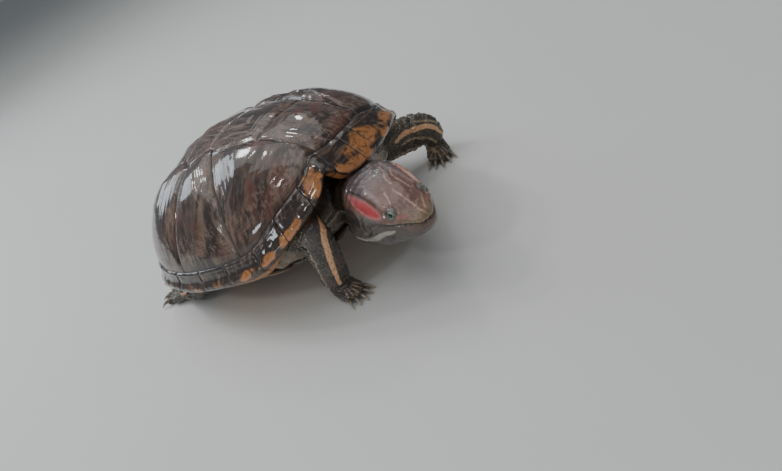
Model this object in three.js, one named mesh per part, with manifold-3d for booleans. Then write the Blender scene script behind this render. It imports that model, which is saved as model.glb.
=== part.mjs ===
// Red-eared slider turtle, standing still: the hind end rests on the ground, the forelegs
// hold the front of the shell up, and the half-drawn head looks down and to the right.
// Millimetres, +Z up, +X towards the head, +Y to the animal's left, ground at z = 0.
import * as THREE from 'three';
import { mergeVertices } from 'three/addons/utils/BufferGeometryUtils.js';
import Module from 'manifold-3d';

const wasm = await Module();
wasm.setup();

// ---- Driving dimensions, in millimetres and degrees ----

const CARAPACE_LENGTH = 110;
const CARAPACE_WIDTH = 82.6;
const DOME_HEIGHT = 32; // crown above the plane of the side rims
const FRONT_ARCH = 9.8; // rise of the rim over the neck
const PLATE_THICKNESS = 2;
const PLASTRON_DEPTH = 10; // flat of the plastron below the plane of the side rims
const HEAD_LENGTH = 31.4;
const SHELL_PITCH = 10; // front of the shell raised by the forelegs
const SHELL_LIFT = 17.85; // height of the shell's centre above the ground
const SEAM = 0.3; // gap kept between neighbouring pieces
// Puts the origin under the middle of the whole animal.
const ORIGIN_SHIFT = new THREE.Vector2(-7.43, -6.24);

const COLOURS = {
  carapace: 0x2e241c,
  margin: 0x6b4220,
  plastron: 0xb08a45,
  skin: 0x33302c,
  headSkin: 0x4a3d38,
  eye: 0x2f3a2c,
};

// ---- Solids from functions ----

const radians = THREE.MathUtils.degToRad;
const { clamp, lerp, smoothstep } = THREE.MathUtils;

// Signed power, for superellipses: keeps the sign of the base.
const signedPower = (base, exponent) => Math.sign(base) * Math.abs(base) ** exponent;

// Turns a closed geometry into a solid whose faces point out.
function solidFrom(geometry) {
  geometry.deleteAttribute('normal');
  geometry.deleteAttribute('uv');
  const merged = mergeVertices(geometry, 1e-4);
  const position = merged.getAttribute('position');
  const corners = [];
  for (let i = 0; i < merged.index.count; i += 3) {
    const triangle = [0, 1, 2].map((k) => merged.index.getX(i + k));
    if (new Set(triangle).size === 3) corners.push(triangle);
  }
  const [a, b, c] = [new THREE.Vector3(), new THREE.Vector3(), new THREE.Vector3()];
  let volume = 0;
  for (const [i, j, k] of corners) {
    a.fromBufferAttribute(position, i);
    b.fromBufferAttribute(position, j);
    c.fromBufferAttribute(position, k);
    volume += a.dot(b.cross(c));
  }
  const ordered = volume > 0 ? corners : corners.map(([i, j, k]) => [i, k, j]);
  return new wasm.Manifold(
    new wasm.Mesh({
      numProp: 3,
      vertProperties: new Float32Array(position.array),
      triVerts: new Uint32Array(ordered.flat()),
    }),
  );
}

function geometryFrom(solid) {
  const { vertProperties, triVerts } = solid.getMesh();
  const geometry = new THREE.BufferGeometry();
  geometry.setAttribute('position', new THREE.BufferAttribute(vertProperties.slice(), 3));
  geometry.setIndex(new THREE.BufferAttribute(triVerts.slice(), 1));
  geometry.computeVertexNormals();
  return geometry;
}

// A sphere's grid moved to place(turn, row): turn runs 0 to 1 round, row counts from pole to pole.
function shapeSphere(turns, rows, place) {
  const geometry = new THREE.SphereGeometry(1, turns, rows);
  const { position, uv } = geometry.attributes;
  for (let i = 0; i < position.count; i += 1) {
    const row = Math.round((1 - uv.getY(i)) * rows);
    position.setXYZ(i, ...place((uv.getX(i) + 1) % 1, row).toArray());
  }
  return solidFrom(geometry);
}

// A capped cylinder's grid moved to place(turn, along); both run 0 to 1. Each flat end is a
// fan round the middle of its outline.
function shapeTube(sides, steps, place) {
  const geometry = new THREE.CylinderGeometry(1, 1, 1, sides, steps);
  const { position } = geometry.attributes;
  const middle = (along) => {
    const sum = new THREE.Vector3();
    for (let k = 0; k < sides; k += 1) sum.add(place(k / sides, along));
    return sum.divideScalar(sides);
  };
  for (let i = 0; i < position.count; i += 1) {
    const [x, y, z] = [position.getX(i), position.getY(i), position.getZ(i)];
    const along = Math.round((0.5 - y) * steps) / steps;
    const side = Math.round(((Math.atan2(x, z) / (2 * Math.PI) + 1) % 1) * sides) % sides;
    const point = Math.hypot(x, z) < 0.5 ? middle(along) : place(side / sides, along);
    position.setXYZ(i, ...point.toArray());
  }
  return solidFrom(geometry);
}

// Value at t of a smooth curve through the rows of a table of [position, value, value, ...].
function alongTable(table, t) {
  const last = table.length - 1;
  let k = 0;
  while (k < last - 1 && t > table[k + 1][0]) k += 1;
  const [from, to] = [table[k], table[k + 1]];
  const span = to[0] - from[0];
  const u = clamp((t - from[0]) / span, 0, 1);
  const slope = (i, column) => {
    const [low, high] = [table[Math.max(i - 1, 0)], table[Math.min(i + 1, last)]];
    return (high[column] - low[column]) / (high[0] - low[0]);
  };
  return from.slice(1).map((value, n) => {
    const column = n + 1;
    const [m0, m1] = [slope(k, column) * span, slope(k + 1, column) * span];
    const [u2, u3] = [u * u, u * u * u];
    return (2 * u3 - 3 * u2 + 1) * value + (u3 - 2 * u2 + u) * m0
      + (3 * u2 - 2 * u3) * to[column] + (u3 - u2) * m1;
  });
}

// A limb or tail: elliptical sections square to a smooth path through joints of
// [x, y, z, half width, half height]; "up" tells which way the half height points.
function limb(joints, sides, steps, up = new THREE.Vector3(0, 0, 1)) {
  const path = new THREE.CatmullRomCurve3(joints.map(([x, y, z]) => new THREE.Vector3(x, y, z)));
  const girth = joints.map(([, , , width, height], k) => [k / (joints.length - 1), width, height]);
  return shapeTube(sides, steps, (turn, along) => {
    const [width, height] = alongTable(girth, along);
    const tangent = path.getTangent(along);
    const across = new THREE.Vector3().crossVectors(up, tangent).normalize();
    const upward = new THREE.Vector3().crossVectors(tangent, across);
    const angle = turn * 2 * Math.PI;
    return path.getPoint(along)
      .addScaledVector(across, width * Math.cos(angle))
      .addScaledVector(upward, height * Math.sin(angle));
  });
}

// ---- The shell's own surfaces, in the shell's frame (its centre at the origin) ----

const HALF_LENGTH = CARAPACE_LENGTH / 2;
const HALF_WIDTH = CARAPACE_WIDTH / 2;
const OUTLINE_POWER = 2.25; // a little squarer than an ellipse
const OUTLINE_TAPER = 0.07; // narrower in front than behind
const KEEL = 0.8;
const ARCH_FALL = [24, 68]; // bearings between which the front arch falls to the side rims
const RIGHT_FLARE = 2.2; // further rise over the right shoulder
const RIGHT_NOTCH = { rise: 3.6, bearing: 20, spread: 4.2 }; // narrow fold of the rim there
const HIND_ARCH = 2; // rise of the rim over each hind leg
const TAIL_DROP = 0.5;

// Share of the way from the middle (0) to the rim (1) of a point in plan.
function outward(x, y) {
  const [u, v] = [x / HALF_LENGTH, y / HALF_WIDTH];
  const facing = Math.hypot(u, v) > 1e-9 ? u / Math.hypot(u, v) : 0;
  const side = v / (1 - OUTLINE_TAPER * facing);
  return (Math.abs(u) ** OUTLINE_POWER + Math.abs(side) ** OUTLINE_POWER) ** (1 / OUTLINE_POWER);
}

// Point in plan at a bearing round the shell (0 front, 90 left) and a share of the way out.
function bearingPoint(bearing, share = 1) {
  const x = HALF_LENGTH * Math.cos(radians(bearing));
  const y = HALF_WIDTH * Math.sin(radians(bearing));
  return new THREE.Vector2(x, y).multiplyScalar(share / outward(x, y));
}

// Share of the way out to the rim where the marginals begin: they are widest over the neck.
function marginStart(bearing) {
  const turned = Math.abs(((bearing + 540) % 360) - 180);
  const narrowing = 0.045 * smoothstep(turned, 12, 26) + 0.015 * smoothstep(turned, 44, 60);
  return 0.905 + narrowing - 0.015 * smoothstep(turned, 108, 130);
}

const rimBearing = (x, y) => THREE.MathUtils.radToDeg(Math.atan2(y / HALF_WIDTH, x / HALF_LENGTH));

// The narrow fold in the rim before the right shoulder.
function notchRise(x, y) {
  const { rise, bearing, spread } = RIGHT_NOTCH;
  return rise * Math.exp(-(((rimBearing(x, y) + bearing) / spread) ** 2));
}

// Height of the rim: arched over the neck like a visor, lifted a little over each hind leg.
function rimHeight(x, y) {
  const bearing = Math.abs(rimBearing(x, y));
  const rear = Math.max(-Math.cos(radians(bearing)), 0);
  const flare = y < 0 ? RIGHT_FLARE * Math.exp(-(((bearing - 21) / 9) ** 2)) : 0;
  const arch = FRONT_ARCH * (1 - smoothstep(bearing, ...ARCH_FALL)) + flare;
  return arch + HIND_ARCH * Math.sin(Math.PI * rear) ** 2 - TAIL_DROP * rear + notchRise(x, y);
}

function domeHeight(x, y) {
  const share = Math.min(outward(x, y), 1);
  const keel = KEEL * Math.exp(-((y / 4) ** 2)) * (1 - share ** 2);
  const notch = notchRise(x, y);
  const rim = (rimHeight(x, y) - notch) * share ** 3 + notch * share ** 12;
  return rim + DOME_HEIGHT * (1 - share ** 2.5) ** 0.72 + keel;
}

// Underside of the shell: flat, the front turned up, the sides rising as the bridges.
function plastronHeight(x, y) {
  const front = 3.2 * clamp((x - 24) / 22, 0, 1) ** 2;
  const rear = 0.6 * clamp((-30 - x) / 20, 0, 1);
  const bridge = 5.6 * smoothstep(Math.abs(y), 21, 36.5) ** 1.3;
  return -PLASTRON_DEPTH + front + rear + bridge;
}

// Normal of a height function, pointing up.
function normalOf(height, x, y) {
  const step = 0.05;
  const slopeX = (height(x + step, y) - height(x - step, y)) / (2 * step);
  const slopeY = (height(x, y + step) - height(x, y - step)) / (2 * step);
  return new THREE.Vector3(-slopeX, -slopeY, 1).normalize();
}

// A shell plate over an outline in plan: its outer face follows the height function, swelling
// slightly towards the middle, and its inner face lies one thickness in. "inner" is -1 for
// the dome, whose inside is below, and 1 for the plastron. "grow" enlarges it on every side.
function plate({ outline, height, inner, rings = 3, innerRings = 1, thickness = PLATE_THICKNESS, grow = 0 }) {
  const middle = outline.reduce((sum, p) => sum.add(p), new THREE.Vector2()).divideScalar(outline.length);
  const swell = 0.5;
  const rows = rings + innerRings + 1;
  return shapeSphere(outline.length, rows, (turn, row) => {
    const edge = outline[Math.round(turn * outline.length) % outline.length];
    const reach = edge.distanceTo(middle);
    const trimmed = middle.clone().lerp(edge, (reach - SEAM * 0.7 + grow) / reach);
    const outer = row <= rings;
    const share = outer ? row / rings : (rows - row) / innerRings;
    const spot = middle.clone().lerp(trimmed, share);
    const normal = normalOf(height, spot.x, spot.y);
    const offset = outer ? -inner * (swell * (1 - share ** 2) + grow) : inner * (thickness + grow);
    return new THREE.Vector3(spot.x, spot.y, height(spot.x, spot.y)).addScaledVector(normal, offset);
  });
}

function cornerPoint(corner) {
  if (corner.bearing === undefined) return new THREE.Vector2(corner.x, corner.y);
  return bearingPoint(corner.bearing, marginStart(corner.bearing));
}

// Outline through corners in plan, each side split evenly. A corner is {x, y} or {bearing} on
// the ring where the marginals begin; a side between two such corners follows that ring.
function outlineOf(corners, splits) {
  const points = [];
  corners.forEach((corner, k) => {
    const next = corners[(k + 1) % corners.length];
    const onRing = corner.bearing !== undefined && next.bearing !== undefined;
    for (let i = 0; i < splits; i += 1) {
      points.push(onRing
        ? cornerPoint({ bearing: lerp(corner.bearing, next.bearing, i / splits) })
        : cornerPoint(corner).lerp(cornerPoint(next), i / splits));
    }
  });
  return points;
}

// ---- Scute layout ----

const NUCHAL_HALF_BEARING = 4;
const VERTEBRAL_FRONT_BEARING = 15;
const VERTEBRAL_REAR_BEARING = 161;
// Cross seams between the five vertebrals, and the half width of each seam.
const VERTEBRAL_SEAMS = [[29, 11.5], [6, 11.5], [-13, 12], [-33, 10.5]];
// Side corners of vertebrals 2 to 4, where two costals meet, and the bearing where that
// costal seam reaches the marginals.
const COSTAL_SEAMS = [[9, 14.5, 64.5], [-3, 16, 98], [-23, 14.5, 130]];
const MARGINAL_BEARINGS = [4, 17, 31, 45, 59, 74, 89, 104, 118, 132, 147, 163, 179.6];

const mirrored = (corner) => (
  corner.bearing === undefined ? { x: corner.x, y: -corner.y } : { bearing: -corner.bearing }
);
const bothSides = (half) => [...half, ...half.map(mirrored).reverse()];
const vertebralSeam = (k) => ({ x: VERTEBRAL_SEAMS[k][0], y: VERTEBRAL_SEAMS[k][1] });
const costalCorner = (k) => ({ x: COSTAL_SEAMS[k][0], y: COSTAL_SEAMS[k][1] });
const costalFoot = (k) => ({ bearing: COSTAL_SEAMS[k][2] });

function vertebralOutline(number) {
  if (number === 1) return outlineOf(bothSides([{ bearing: VERTEBRAL_FRONT_BEARING }, vertebralSeam(0)]), 4);
  if (number === 5) {
    const rear = VERTEBRAL_REAR_BEARING;
    const corners = [
      vertebralSeam(3), { bearing: rear }, { bearing: 360 - rear }, mirrored(vertebralSeam(3)),
    ];
    return outlineOf(corners, 4);
  }
  const half = [vertebralSeam(number - 2), costalCorner(number - 2), vertebralSeam(number - 1)];
  return outlineOf(bothSides(half), 3);
}

function costalOutline(number) {
  const [front, rear] = [number - 2, number - 1];
  const frontEdge = number === 1
    ? [{ bearing: VERTEBRAL_FRONT_BEARING }]
    : [costalFoot(front), costalCorner(front)];
  const rearEdge = number === 4
    ? [{ bearing: VERTEBRAL_REAR_BEARING }]
    : [costalCorner(rear), costalFoot(rear)];
  return outlineOf([...frontEdge, vertebralSeam(rear), ...rearEdge], 4);
}

// ---- Marginals: a closed section carried round the rim ----

const MARGIN_FLARE = 0.9;
const HIND_SERRATION = 0.9;

// How far a bearing lies within the bridge, 0 to 1, where the rim joins the plastron.
const bridging = (bearing) => smoothstep(bearing, 46, 60) * (1 - smoothstep(bearing, 118, 132));

// Corners of the section at a bearing, from the costal seam over the rim and back underneath.
function marginSection(bearing, tooth, grow) {
  const rim = bearingPoint(bearing);
  const reach = rim.length();
  const out = rim.clone().divideScalar(reach);
  const lift = rimHeight(rim.x, rim.y);
  const bridge = bridging(Math.abs(bearing));
  const flare = MARGIN_FLARE + HIND_SERRATION * tooth * smoothstep(Math.abs(bearing), 100, 130);
  const onDome = (share, sink = 0) => {
    const spot = bearingPoint(bearing, share);
    return [spot.length() - reach, domeHeight(spot.x, spot.y) - lift - sink];
  };
  const seam = marginStart(bearing);
  const start = seam + (SEAM / 2 - grow) / reach;
  const [seamOut, seamUp] = onDome(start);
  const seamSpot = bearingPoint(bearing, start);
  const normal = normalOf(domeHeight, seamSpot.x, seamSpot.y);
  const depth = PLATE_THICKNESS * 1.1; // the inner face runs along the ends of the dome's plates
  const outline = [
    [seamOut, seamUp + grow],
    onDome(lerp(seam, 1, 0.42), -grow * 1.5),
    onDome(lerp(seam, 1, 0.77), -grow * 2),
    [flare + grow, 0.4 + grow],
    [flare - 0.4 + grow, -1.2 - grow],
    [-2.2, lerp(-2.4, -2.8, bridge) - grow],
    [lerp(-6.3, -4.6, bridge) - grow, lerp(-2.6, -4.2, bridge) - grow],
    [seamOut - depth * (normal.x * out.x + normal.y * out.y) - grow, seamUp - depth * normal.z],
  ];
  return outline.map(([outset, up]) => {
    const spot = rim.clone().addScaledVector(out, outset);
    return new THREE.Vector3(spot.x, spot.y, lift + up);
  });
}

// A stretch of rim between two bearings; the tooth grows towards its hinder end.
function marginal(from, to, steps, grow = 0) {
  const reach = bearingPoint((from + to) / 2).length();
  const trim = THREE.MathUtils.radToDeg((SEAM / 2 - grow) / reach) * Math.sign(to - from);
  const sections = Array.from({ length: steps + 1 }, (_, k) => {
    const share = k / steps;
    return marginSection(lerp(from + trim, to - trim, share), share ** 2, grow);
  });
  return shapeTube(sections[0].length, steps, (turn, along) => (
    sections[Math.round(along * steps)][Math.round(turn * sections[0].length)].clone()
  ));
}

// ---- Plastron: six cross rows of plates, each pair in one piece ----

// Seams between the rows: place along the body and half width there.
const PLASTRON_ROWS = ['gular', 'humeral', 'pectoral', 'abdominal', 'femoral', 'anal'];
const PLASTRON_SEAMS = [
  [43.5, 8.5], [37, 15.5], [26.5, 22.5], [9, 35.6], [-14, 35.6], [-34, 20.5], [-50, 12],
];
const BRIDGE_FRONT = 22;
const BRIDGE_REAR = -19;
const AXILLA_HALF_WIDTH = 24;
const BRIDGE_BEND = 21;
const ANAL_NOTCH = 3.5;

function plastronOutline(row) {
  const seam = (k) => ({ x: PLASTRON_SEAMS[k][0], y: PLASTRON_SEAMS[k][1] });
  const axilla = { x: BRIDGE_FRONT, y: AXILLA_HALF_WIDTH };
  const groin = { x: BRIDGE_REAR, y: AXILLA_HALF_WIDTH };
  const bend = (k) => ({ x: seam(k).x, y: BRIDGE_BEND }); // where a seam starts to climb the bridge
  const rows = {
    pectoral: [seam(2), axilla, { x: BRIDGE_FRONT - 4, y: 34 }, seam(3), bend(3)],
    abdominal: [bend(3), seam(3), seam(4), bend(4)],
    femoral: [bend(4), seam(4), { x: BRIDGE_REAR + 2, y: 35 }, groin, seam(5)],
    anal: [seam(5), seam(6), { x: seam(6).x + ANAL_NOTCH, y: 0.01 }],
  };
  const name = PLASTRON_ROWS[row];
  const half = rows[name] ?? [seam(row), seam(row + 1)];
  return outlineOf(bothSides(half), half.length > 3 ? 2 : 3);
}

// ---- Trunk: the body inside the shell, its skin showing between the plates at both ends ----

function trunk(grow = 0) {
  const turns = 22;
  const shares = [0, 0.35, 0.65, 0.87, 1, 1, 0.6, 0];
  const topRows = 5;
  return shapeSphere(turns, shares.length - 1, (turn, row) => {
    const bearing = turn * 360;
    const rim = bearingPoint(bearing);
    const shoulder = 4 * Math.exp(-(((Math.abs(rimBearing(rim.x, rim.y)) - 50) / 14) ** 2));
    const inset = 8.2 + 7.5 * Math.cos(radians(bearing)) ** 2 - shoulder - grow;
    const spot = rim.multiplyScalar(((rim.length() - inset) / rim.length()) * shares[row]);
    const top = domeHeight(spot.x, spot.y) - 5.4 - 3 * shares[row] ** 4 + grow;
    const bottom = plastronHeight(spot.x, spot.y) + PLATE_THICKNESS + 1.9 - grow;
    return new THREE.Vector3(spot.x, spot.y, row < topRows ? Math.max(top, bottom + 1) : bottom);
  });
}

// ---- Head, in its own frame: snout tip at the origin, +X forward, +Z up ----

const HEAD_PLACE = new THREE.Vector3(75.2, -13.2, -6.4);
const HEAD_TURN = { roll: -2.8, pitch: 22.5, yaw: -19.3 };
const HEAD_UNIT = HEAD_LENGTH / 28;
// Distance behind the snout, half width, height of the crown and depth of the jaw.
const HEAD_SECTIONS = [
  [0, 1.6, -0.6, -3.9],
  [0.7, 2.7, 0.5, -5.2],
  [2, 3.9, 1.4, -6.5],
  [5, 5.8, 2.6, -8.8],
  [8, 7.3, 3.7, -11.0],
  [12, 8.5, 4.4, -12.9],
  [16, 9.3, 4.8, -14.1],
  [20, 9.5, 4.8, -14.4],
  [23.5, 8.6, 4.2, -13.2],
  [26, 7.0, 3.0, -11.2],
  [28, 5.4, 1.6, -9.2],
];
const EYE = { behind: 7.3, aside: 4.2, above: 0.45, radius: 2 };
// Mouth line and the jaw's hinder edge, as [behind the snout, height].
const JAW_PROFILE = [
  [-2, -1.9], [1.5, -2.1], [4, -1.8], [8, -2.4], [12.6, -2.6], [13.4, -5.2], [12, -18], [-2, -18],
];

const LIP_GAP = 0.13; // half the gap along the mouth line

function headPoint(behind, turn) {
  const [width, top, bottom] = alongTable(HEAD_SECTIONS, behind);
  const angle = turn * 2 * Math.PI;
  const squareness = 2 / 2.3;
  return new THREE.Vector3(
    -behind,
    width * signedPower(Math.cos(angle), squareness),
    (top + bottom) / 2 + ((top - bottom) / 2) * signedPower(Math.sin(angle), squareness),
  ).multiplyScalar(HEAD_UNIT);
}

function wholeHead() {
  const stops = [0, 0.7, 2, 3.5, 5, 7, 9.5, 12.6, 16.5, 20.5, 24, 26.3, 28];
  const last = stops.length - 1;
  return shapeTube(14, last, (turn, along) => headPoint(stops[Math.round(along * last)], turn));
}

// Everything under the mouth line and before the jaw's hinder edge, moved by "slack".
function jawSide(slack) {
  const shape = new THREE.Shape(JAW_PROFILE.map(([behind, height], k) => {
    const back = k >= 4 && k <= 6 ? slack : 0;
    return new THREE.Vector2(-(behind + back), height + (k <= 4 ? slack : 0)).multiplyScalar(HEAD_UNIT);
  }));
  const slab = new THREE.ExtrudeGeometry(shape, { depth: 60, bevelEnabled: false });
  slab.translate(0, 0, -30);
  slab.rotateX(Math.PI / 2);
  return solidFrom(slab);
}

function eyeball(side, radius) {
  const ball = new THREE.SphereGeometry(radius * HEAD_UNIT, 12, 6);
  ball.rotateX(-side * Math.PI / 2);
  ball.translate(-EYE.behind * HEAD_UNIT, side * EYE.aside * HEAD_UNIT, EYE.above * HEAD_UNIT);
  return solidFrom(ball);
}

const headMatrix = new THREE.Matrix4().compose(
  HEAD_PLACE,
  new THREE.Quaternion().setFromEuler(
    new THREE.Euler(radians(HEAD_TURN.roll), radians(HEAD_TURN.pitch), radians(HEAD_TURN.yaw), 'ZYX'),
  ),
  new THREE.Vector3(1, 1, 1),
);

// ---- Legs and tail, on the ground: x, y and height, then half width and half height ----

const FORE_TOES = { toes: 5, toe: 4.1, claw: 3.9, web: 0.35 };
const HIND_TOES = { toes: 4, toe: 5.4, claw: 4, web: 0.62 };
const LEGS = {
  foreleg_right: {
    foot: 'forefoot_right',
    joints: [[16, -15, 20, 5.5, 6.5], [29, -20.5, 24, 5.2, 5.6], [39, -22.4, 26, 4.5, 5.2],
      [37.8, -21.9, 16, 4.7, 5], [34.8, -21, 5.8, 4.3, 4.7]],
    up: [1, 0.1, 0.3],
    hand: {
      wrist: [34.8, -21, 3.6], heading: -12, palm: 5.2, spread: 28,
      ...FORE_TOES,
    },
  },
  foreleg_left: {
    foot: 'forefoot_left',
    joints: [[14, 15, 16.5, 5.5, 6.8], [19, 31, 15.4, 5.6, 6.9], [24, 43.5, 12.6, 5, 6.8],
      [28.6, 49.6, 10.6, 4.6, 6.2], [30.8, 51, 5.4, 3.8, 4.4]],
    up: [0.2, 0.1, 1],
    hand: {
      wrist: [30.2, 50.4, 3.6], heading: -50, palm: 5.2, spread: 33,
      ...FORE_TOES,
    },
  },
  hindleg_right: {
    foot: 'hindfoot_right',
    joints: [[-20, -16, 13, 6.5, 5.5], [-21, -26, 10.5, 6.6, 5.2], [-24, -31.4, 7.6, 5.6, 4.6],
      [-29.5, -32.2, 5.6, 4.6, 3.8], [-35, -31.2, 4, 3.6, 3]],
    up: [0, 0, 1],
    hand: {
      wrist: [-35, -31.2, 2.8], heading: -170, palm: 5.8, spread: 34,
      ...HIND_TOES,
    },
  },
  hindleg_left: {
    foot: 'hindfoot_left',
    joints: [[-20, 16, 13, 6.5, 5.5], [-19.5, 27, 10.5, 6.6, 5.2], [-22.5, 34.5, 7.6, 5.6, 4.6],
      [-28, 36.5, 5.6, 4.6, 3.8], [-33.5, 36.4, 4, 3.6, 3]],
    up: [0, 0, 1],
    hand: {
      wrist: [-33.5, 36.4, 2.8], heading: 158, palm: 5.8, spread: 36,
      ...HIND_TOES,
    },
  },
};
const TAIL_JOINTS = [[-38, 0, 8, 5, 4.5], [-46, 0.2, 4.6, 3.8, 3.6], [-53, 2.4, 2.4, 2.7, 2.4],
  [-58.2, 7.4, 1.5, 1.8, 1.6], [-59.6, 14, 1, 0.9, 0.9]];
const ANKLE_SLANT = 31; // lean of the cut between leg and foot
const FOOT_ROOM = 30; // edge of the block that takes in a foot beyond that cut
const SOLE_SINK = 0.5; // how far soles reach under the ground before they are cut flat

// A foot flat on the ground: a low palm, toes fanned round the heading, each ending in a
// curved claw, and webs between them.
function footOf({ wrist, heading, palm, spread, toes, toe, claw, web }) {
  const [x, y, height] = wrist;
  const ahead = new THREE.Vector3(Math.cos(radians(heading)), Math.sin(radians(heading)), 0);
  const level = (distance, angle, up) => new THREE.Vector3(
    x + ahead.x * palm * 0.35 + distance * Math.cos(radians(heading + angle)),
    y + ahead.y * palm * 0.35 + distance * Math.sin(radians(heading + angle)),
    up,
  );
  let foot = limb([
    [x - ahead.x * 1.5, y - ahead.y * 1.5, height + 1.4, palm * 0.6, 2.9],
    [x + ahead.x * palm * 0.3, y + ahead.y * palm * 0.3, 2.3, palm * 0.8, 2.6],
    [x + ahead.x * palm, y + ahead.y * palm, 1.4, palm * 0.86, 1.9],
    [x + ahead.x * palm * 1.35, y + ahead.y * palm * 1.35, 1.2, palm * 0.62, 1.5],
  ], 8, 2);
  for (let k = 0; k < toes; k += 1) {
    const angle = lerp(-spread, spread, k / (toes - 1));
    const middle = 1 - Math.abs(k / (toes - 1) - 0.5) * 0.5;
    const knuckle = palm * 0.45 + 1;
    const tip = knuckle + toe * middle;
    const rows = (list) => list.map(([distance, up, ...size]) => [
      ...level(distance, angle, up).toArray(), ...size,
    ]);
    const toeRows = [
      [knuckle - 1.6, 1.8, 1.5, 1.6], [(knuckle + tip) / 2, 1.5, 1.35, 1.5], [tip, 1.1, 1.0, 1.25],
    ];
    const clawRows = [
      [tip - 0.8, 1.4, 0.8, 0.85], [tip + claw * 0.45, 1.5, 0.55, 0.62], [tip + claw, 0.3, 0.1, 0.12],
    ];
    foot = foot.add(limb(rows(toeRows), 6, 1)).add(limb(rows(clawRows), 5, 2));
  }
  const webReach = palm * 0.45 + toe * web + 1;
  const fan = Array.from({ length: 7 }, (_, k) => level(webReach, lerp(-spread, spread, k / 6), 0));
  const shape = new THREE.Shape([level(0, 0, 0), ...fan].map((p) => new THREE.Vector2(p.x, p.y)));
  const webbing = new THREE.ExtrudeGeometry(shape, { depth: 0.9 + SOLE_SINK, bevelEnabled: false });
  webbing.translate(0, 0, -SOLE_SINK);
  return foot.add(solidFrom(webbing));
}

// ---- Building ----

const turtle = new THREE.Group();
const shellGroup = new THREE.Group(); // pitched, its origin at the shell's centre
shellGroup.rotation.y = -radians(SHELL_PITCH);
shellGroup.position.z = SHELL_LIFT;
const headGroup = new THREE.Group();
headGroup.applyMatrix4(headMatrix);
shellGroup.add(headGroup);
turtle.add(shellGroup);

function addNode(parent, name, solid, colour, roughness = 0.4) {
  const material = new THREE.MeshStandardMaterial({ color: colour, roughness, metalness: 0 });
  const mesh = new THREE.Mesh(geometryFrom(solid), material);
  mesh.name = name;
  parent.add(mesh);
}

// The largest body of a solid, without slivers a cut may leave beside it.
function largest(solid) {
  return solid.decompose().reduce((best, body) => (body.volume() > best.volume() ? body : best));
}

const standing = (solid) => solid.rotate([0, -SHELL_PITCH, 0]).translate([0, 0, SHELL_LIFT]);
const aboveGround = (solid) => solid.trimByPlane([0, 0, 1], 0);
const backToShell = (solid) => solid.translate([0, 0, -SHELL_LIFT]).rotate([0, SHELL_PITCH, 0]);

// Plates of the shell; each is also kept a little enlarged, to cut room for the flesh.
let shellRoom = trunk(SEAM);
function addPlate(name, make, colour, finish = (solid) => solid) {
  addNode(shellGroup, name, finish(make(0)), colour, 0.28);
  shellRoom = shellRoom.add(make(SEAM * 1.2));
}

const domePlate = (outline) => (grow) => plate({ outline, height: domeHeight, inner: -1, grow });
for (let number = 1; number <= 5; number += 1) {
  addPlate(`vertebral_${number}`, domePlate(vertebralOutline(number)), COLOURS.carapace);
}
for (const [side, name] of [[1, 'left'], [-1, 'right']]) {
  for (let number = 1; number <= 4; number += 1) {
    const left = costalOutline(number);
    const outline = side === 1 ? left : left.map((p) => new THREE.Vector2(p.x, -p.y)).reverse();
    addPlate(`costal_${name}_${number}`, domePlate(outline), COLOURS.carapace);
  }
  for (let number = 1; number < MARGINAL_BEARINGS.length; number += 1) {
    const [from, to] = [MARGINAL_BEARINGS[number - 1] * side, MARGINAL_BEARINGS[number] * side];
    addPlate(`marginal_${name}_${number}`, (grow) => marginal(from, to, 2, grow), COLOURS.margin);
  }
}
addPlate('nuchal', (grow) => marginal(-NUCHAL_HALF_BEARING, NUCHAL_HALF_BEARING, 2, grow), COLOURS.carapace);
PLASTRON_ROWS.forEach((name, row) => {
  const outline = plastronOutline(row);
  const make = (grow) => plate({ outline, height: plastronHeight, inner: 1, rings: 2, innerRings: 2, grow });
  const flatten = (solid) => backToShell(aboveGround(standing(solid)));
  addPlate(`plastron_${name}`, make, COLOURS.plastron, name === 'anal' ? flatten : undefined);
});
addNode(shellGroup, 'trunk', trunk(), COLOURS.skin, 0.5);

// Head: eyes set in sockets, the lower jaw parted along the mouth line.
const head = wholeHead();
const inShell = (solid) => solid.transform(headMatrix.elements);
const sockets = eyeball(1, EYE.radius + 0.25).add(eyeball(-1, EYE.radius + 0.25));
const roomInHeadFrame = shellRoom.transform(headMatrix.clone().invert().elements);
const keptClear = sockets.add(roomInHeadFrame);
addNode(headGroup, 'head', head.subtract(jawSide(LIP_GAP)).subtract(keptClear), COLOURS.headSkin);
addNode(headGroup, 'lower_jaw', head.intersect(jawSide(-LIP_GAP)).subtract(keptClear), COLOURS.headSkin);
for (const [side, name] of [[1, 'left'], [-1, 'right']]) {
  addNode(headGroup, `eye_${name}`, eyeball(side, EYE.radius), COLOURS.eye, 0.1);
}

// Neck: from the trunk to the head's hinder face, cut clear of both.
const nape = new THREE.Vector3(-28 * HEAD_UNIT, 0, -3.8 * HEAD_UNIT).applyMatrix4(headMatrix);
const behindHead = new THREE.Vector3(-1, 0, 0).transformDirection(headMatrix);
const neckEnd = nape.clone().addScaledVector(behindHead, -1);
const neck = limb([
  [24, 1, -2.4, 9.2, 6.4],
  [nape.x - 13, 0.6, -2.2, 8.6, 6.6],
  [nape.x - 5, nape.y * 0.75, lerp(-2.2, nape.z, 0.6), 7.6, 6.6],
  [neckEnd.x, neckEnd.y, neckEnd.z, 6.6, 6.4],
], 12, 4);
const faceDistance = new THREE.Vector3(-28 * HEAD_UNIT - SEAM, 0, 0).applyMatrix4(headMatrix).dot(behindHead);
const shortNeck = neck.trimByPlane(behindHead.toArray(), faceDistance);
addNode(shellGroup, 'neck', shortNeck.subtract(shellRoom), COLOURS.skin, 0.45);

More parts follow.
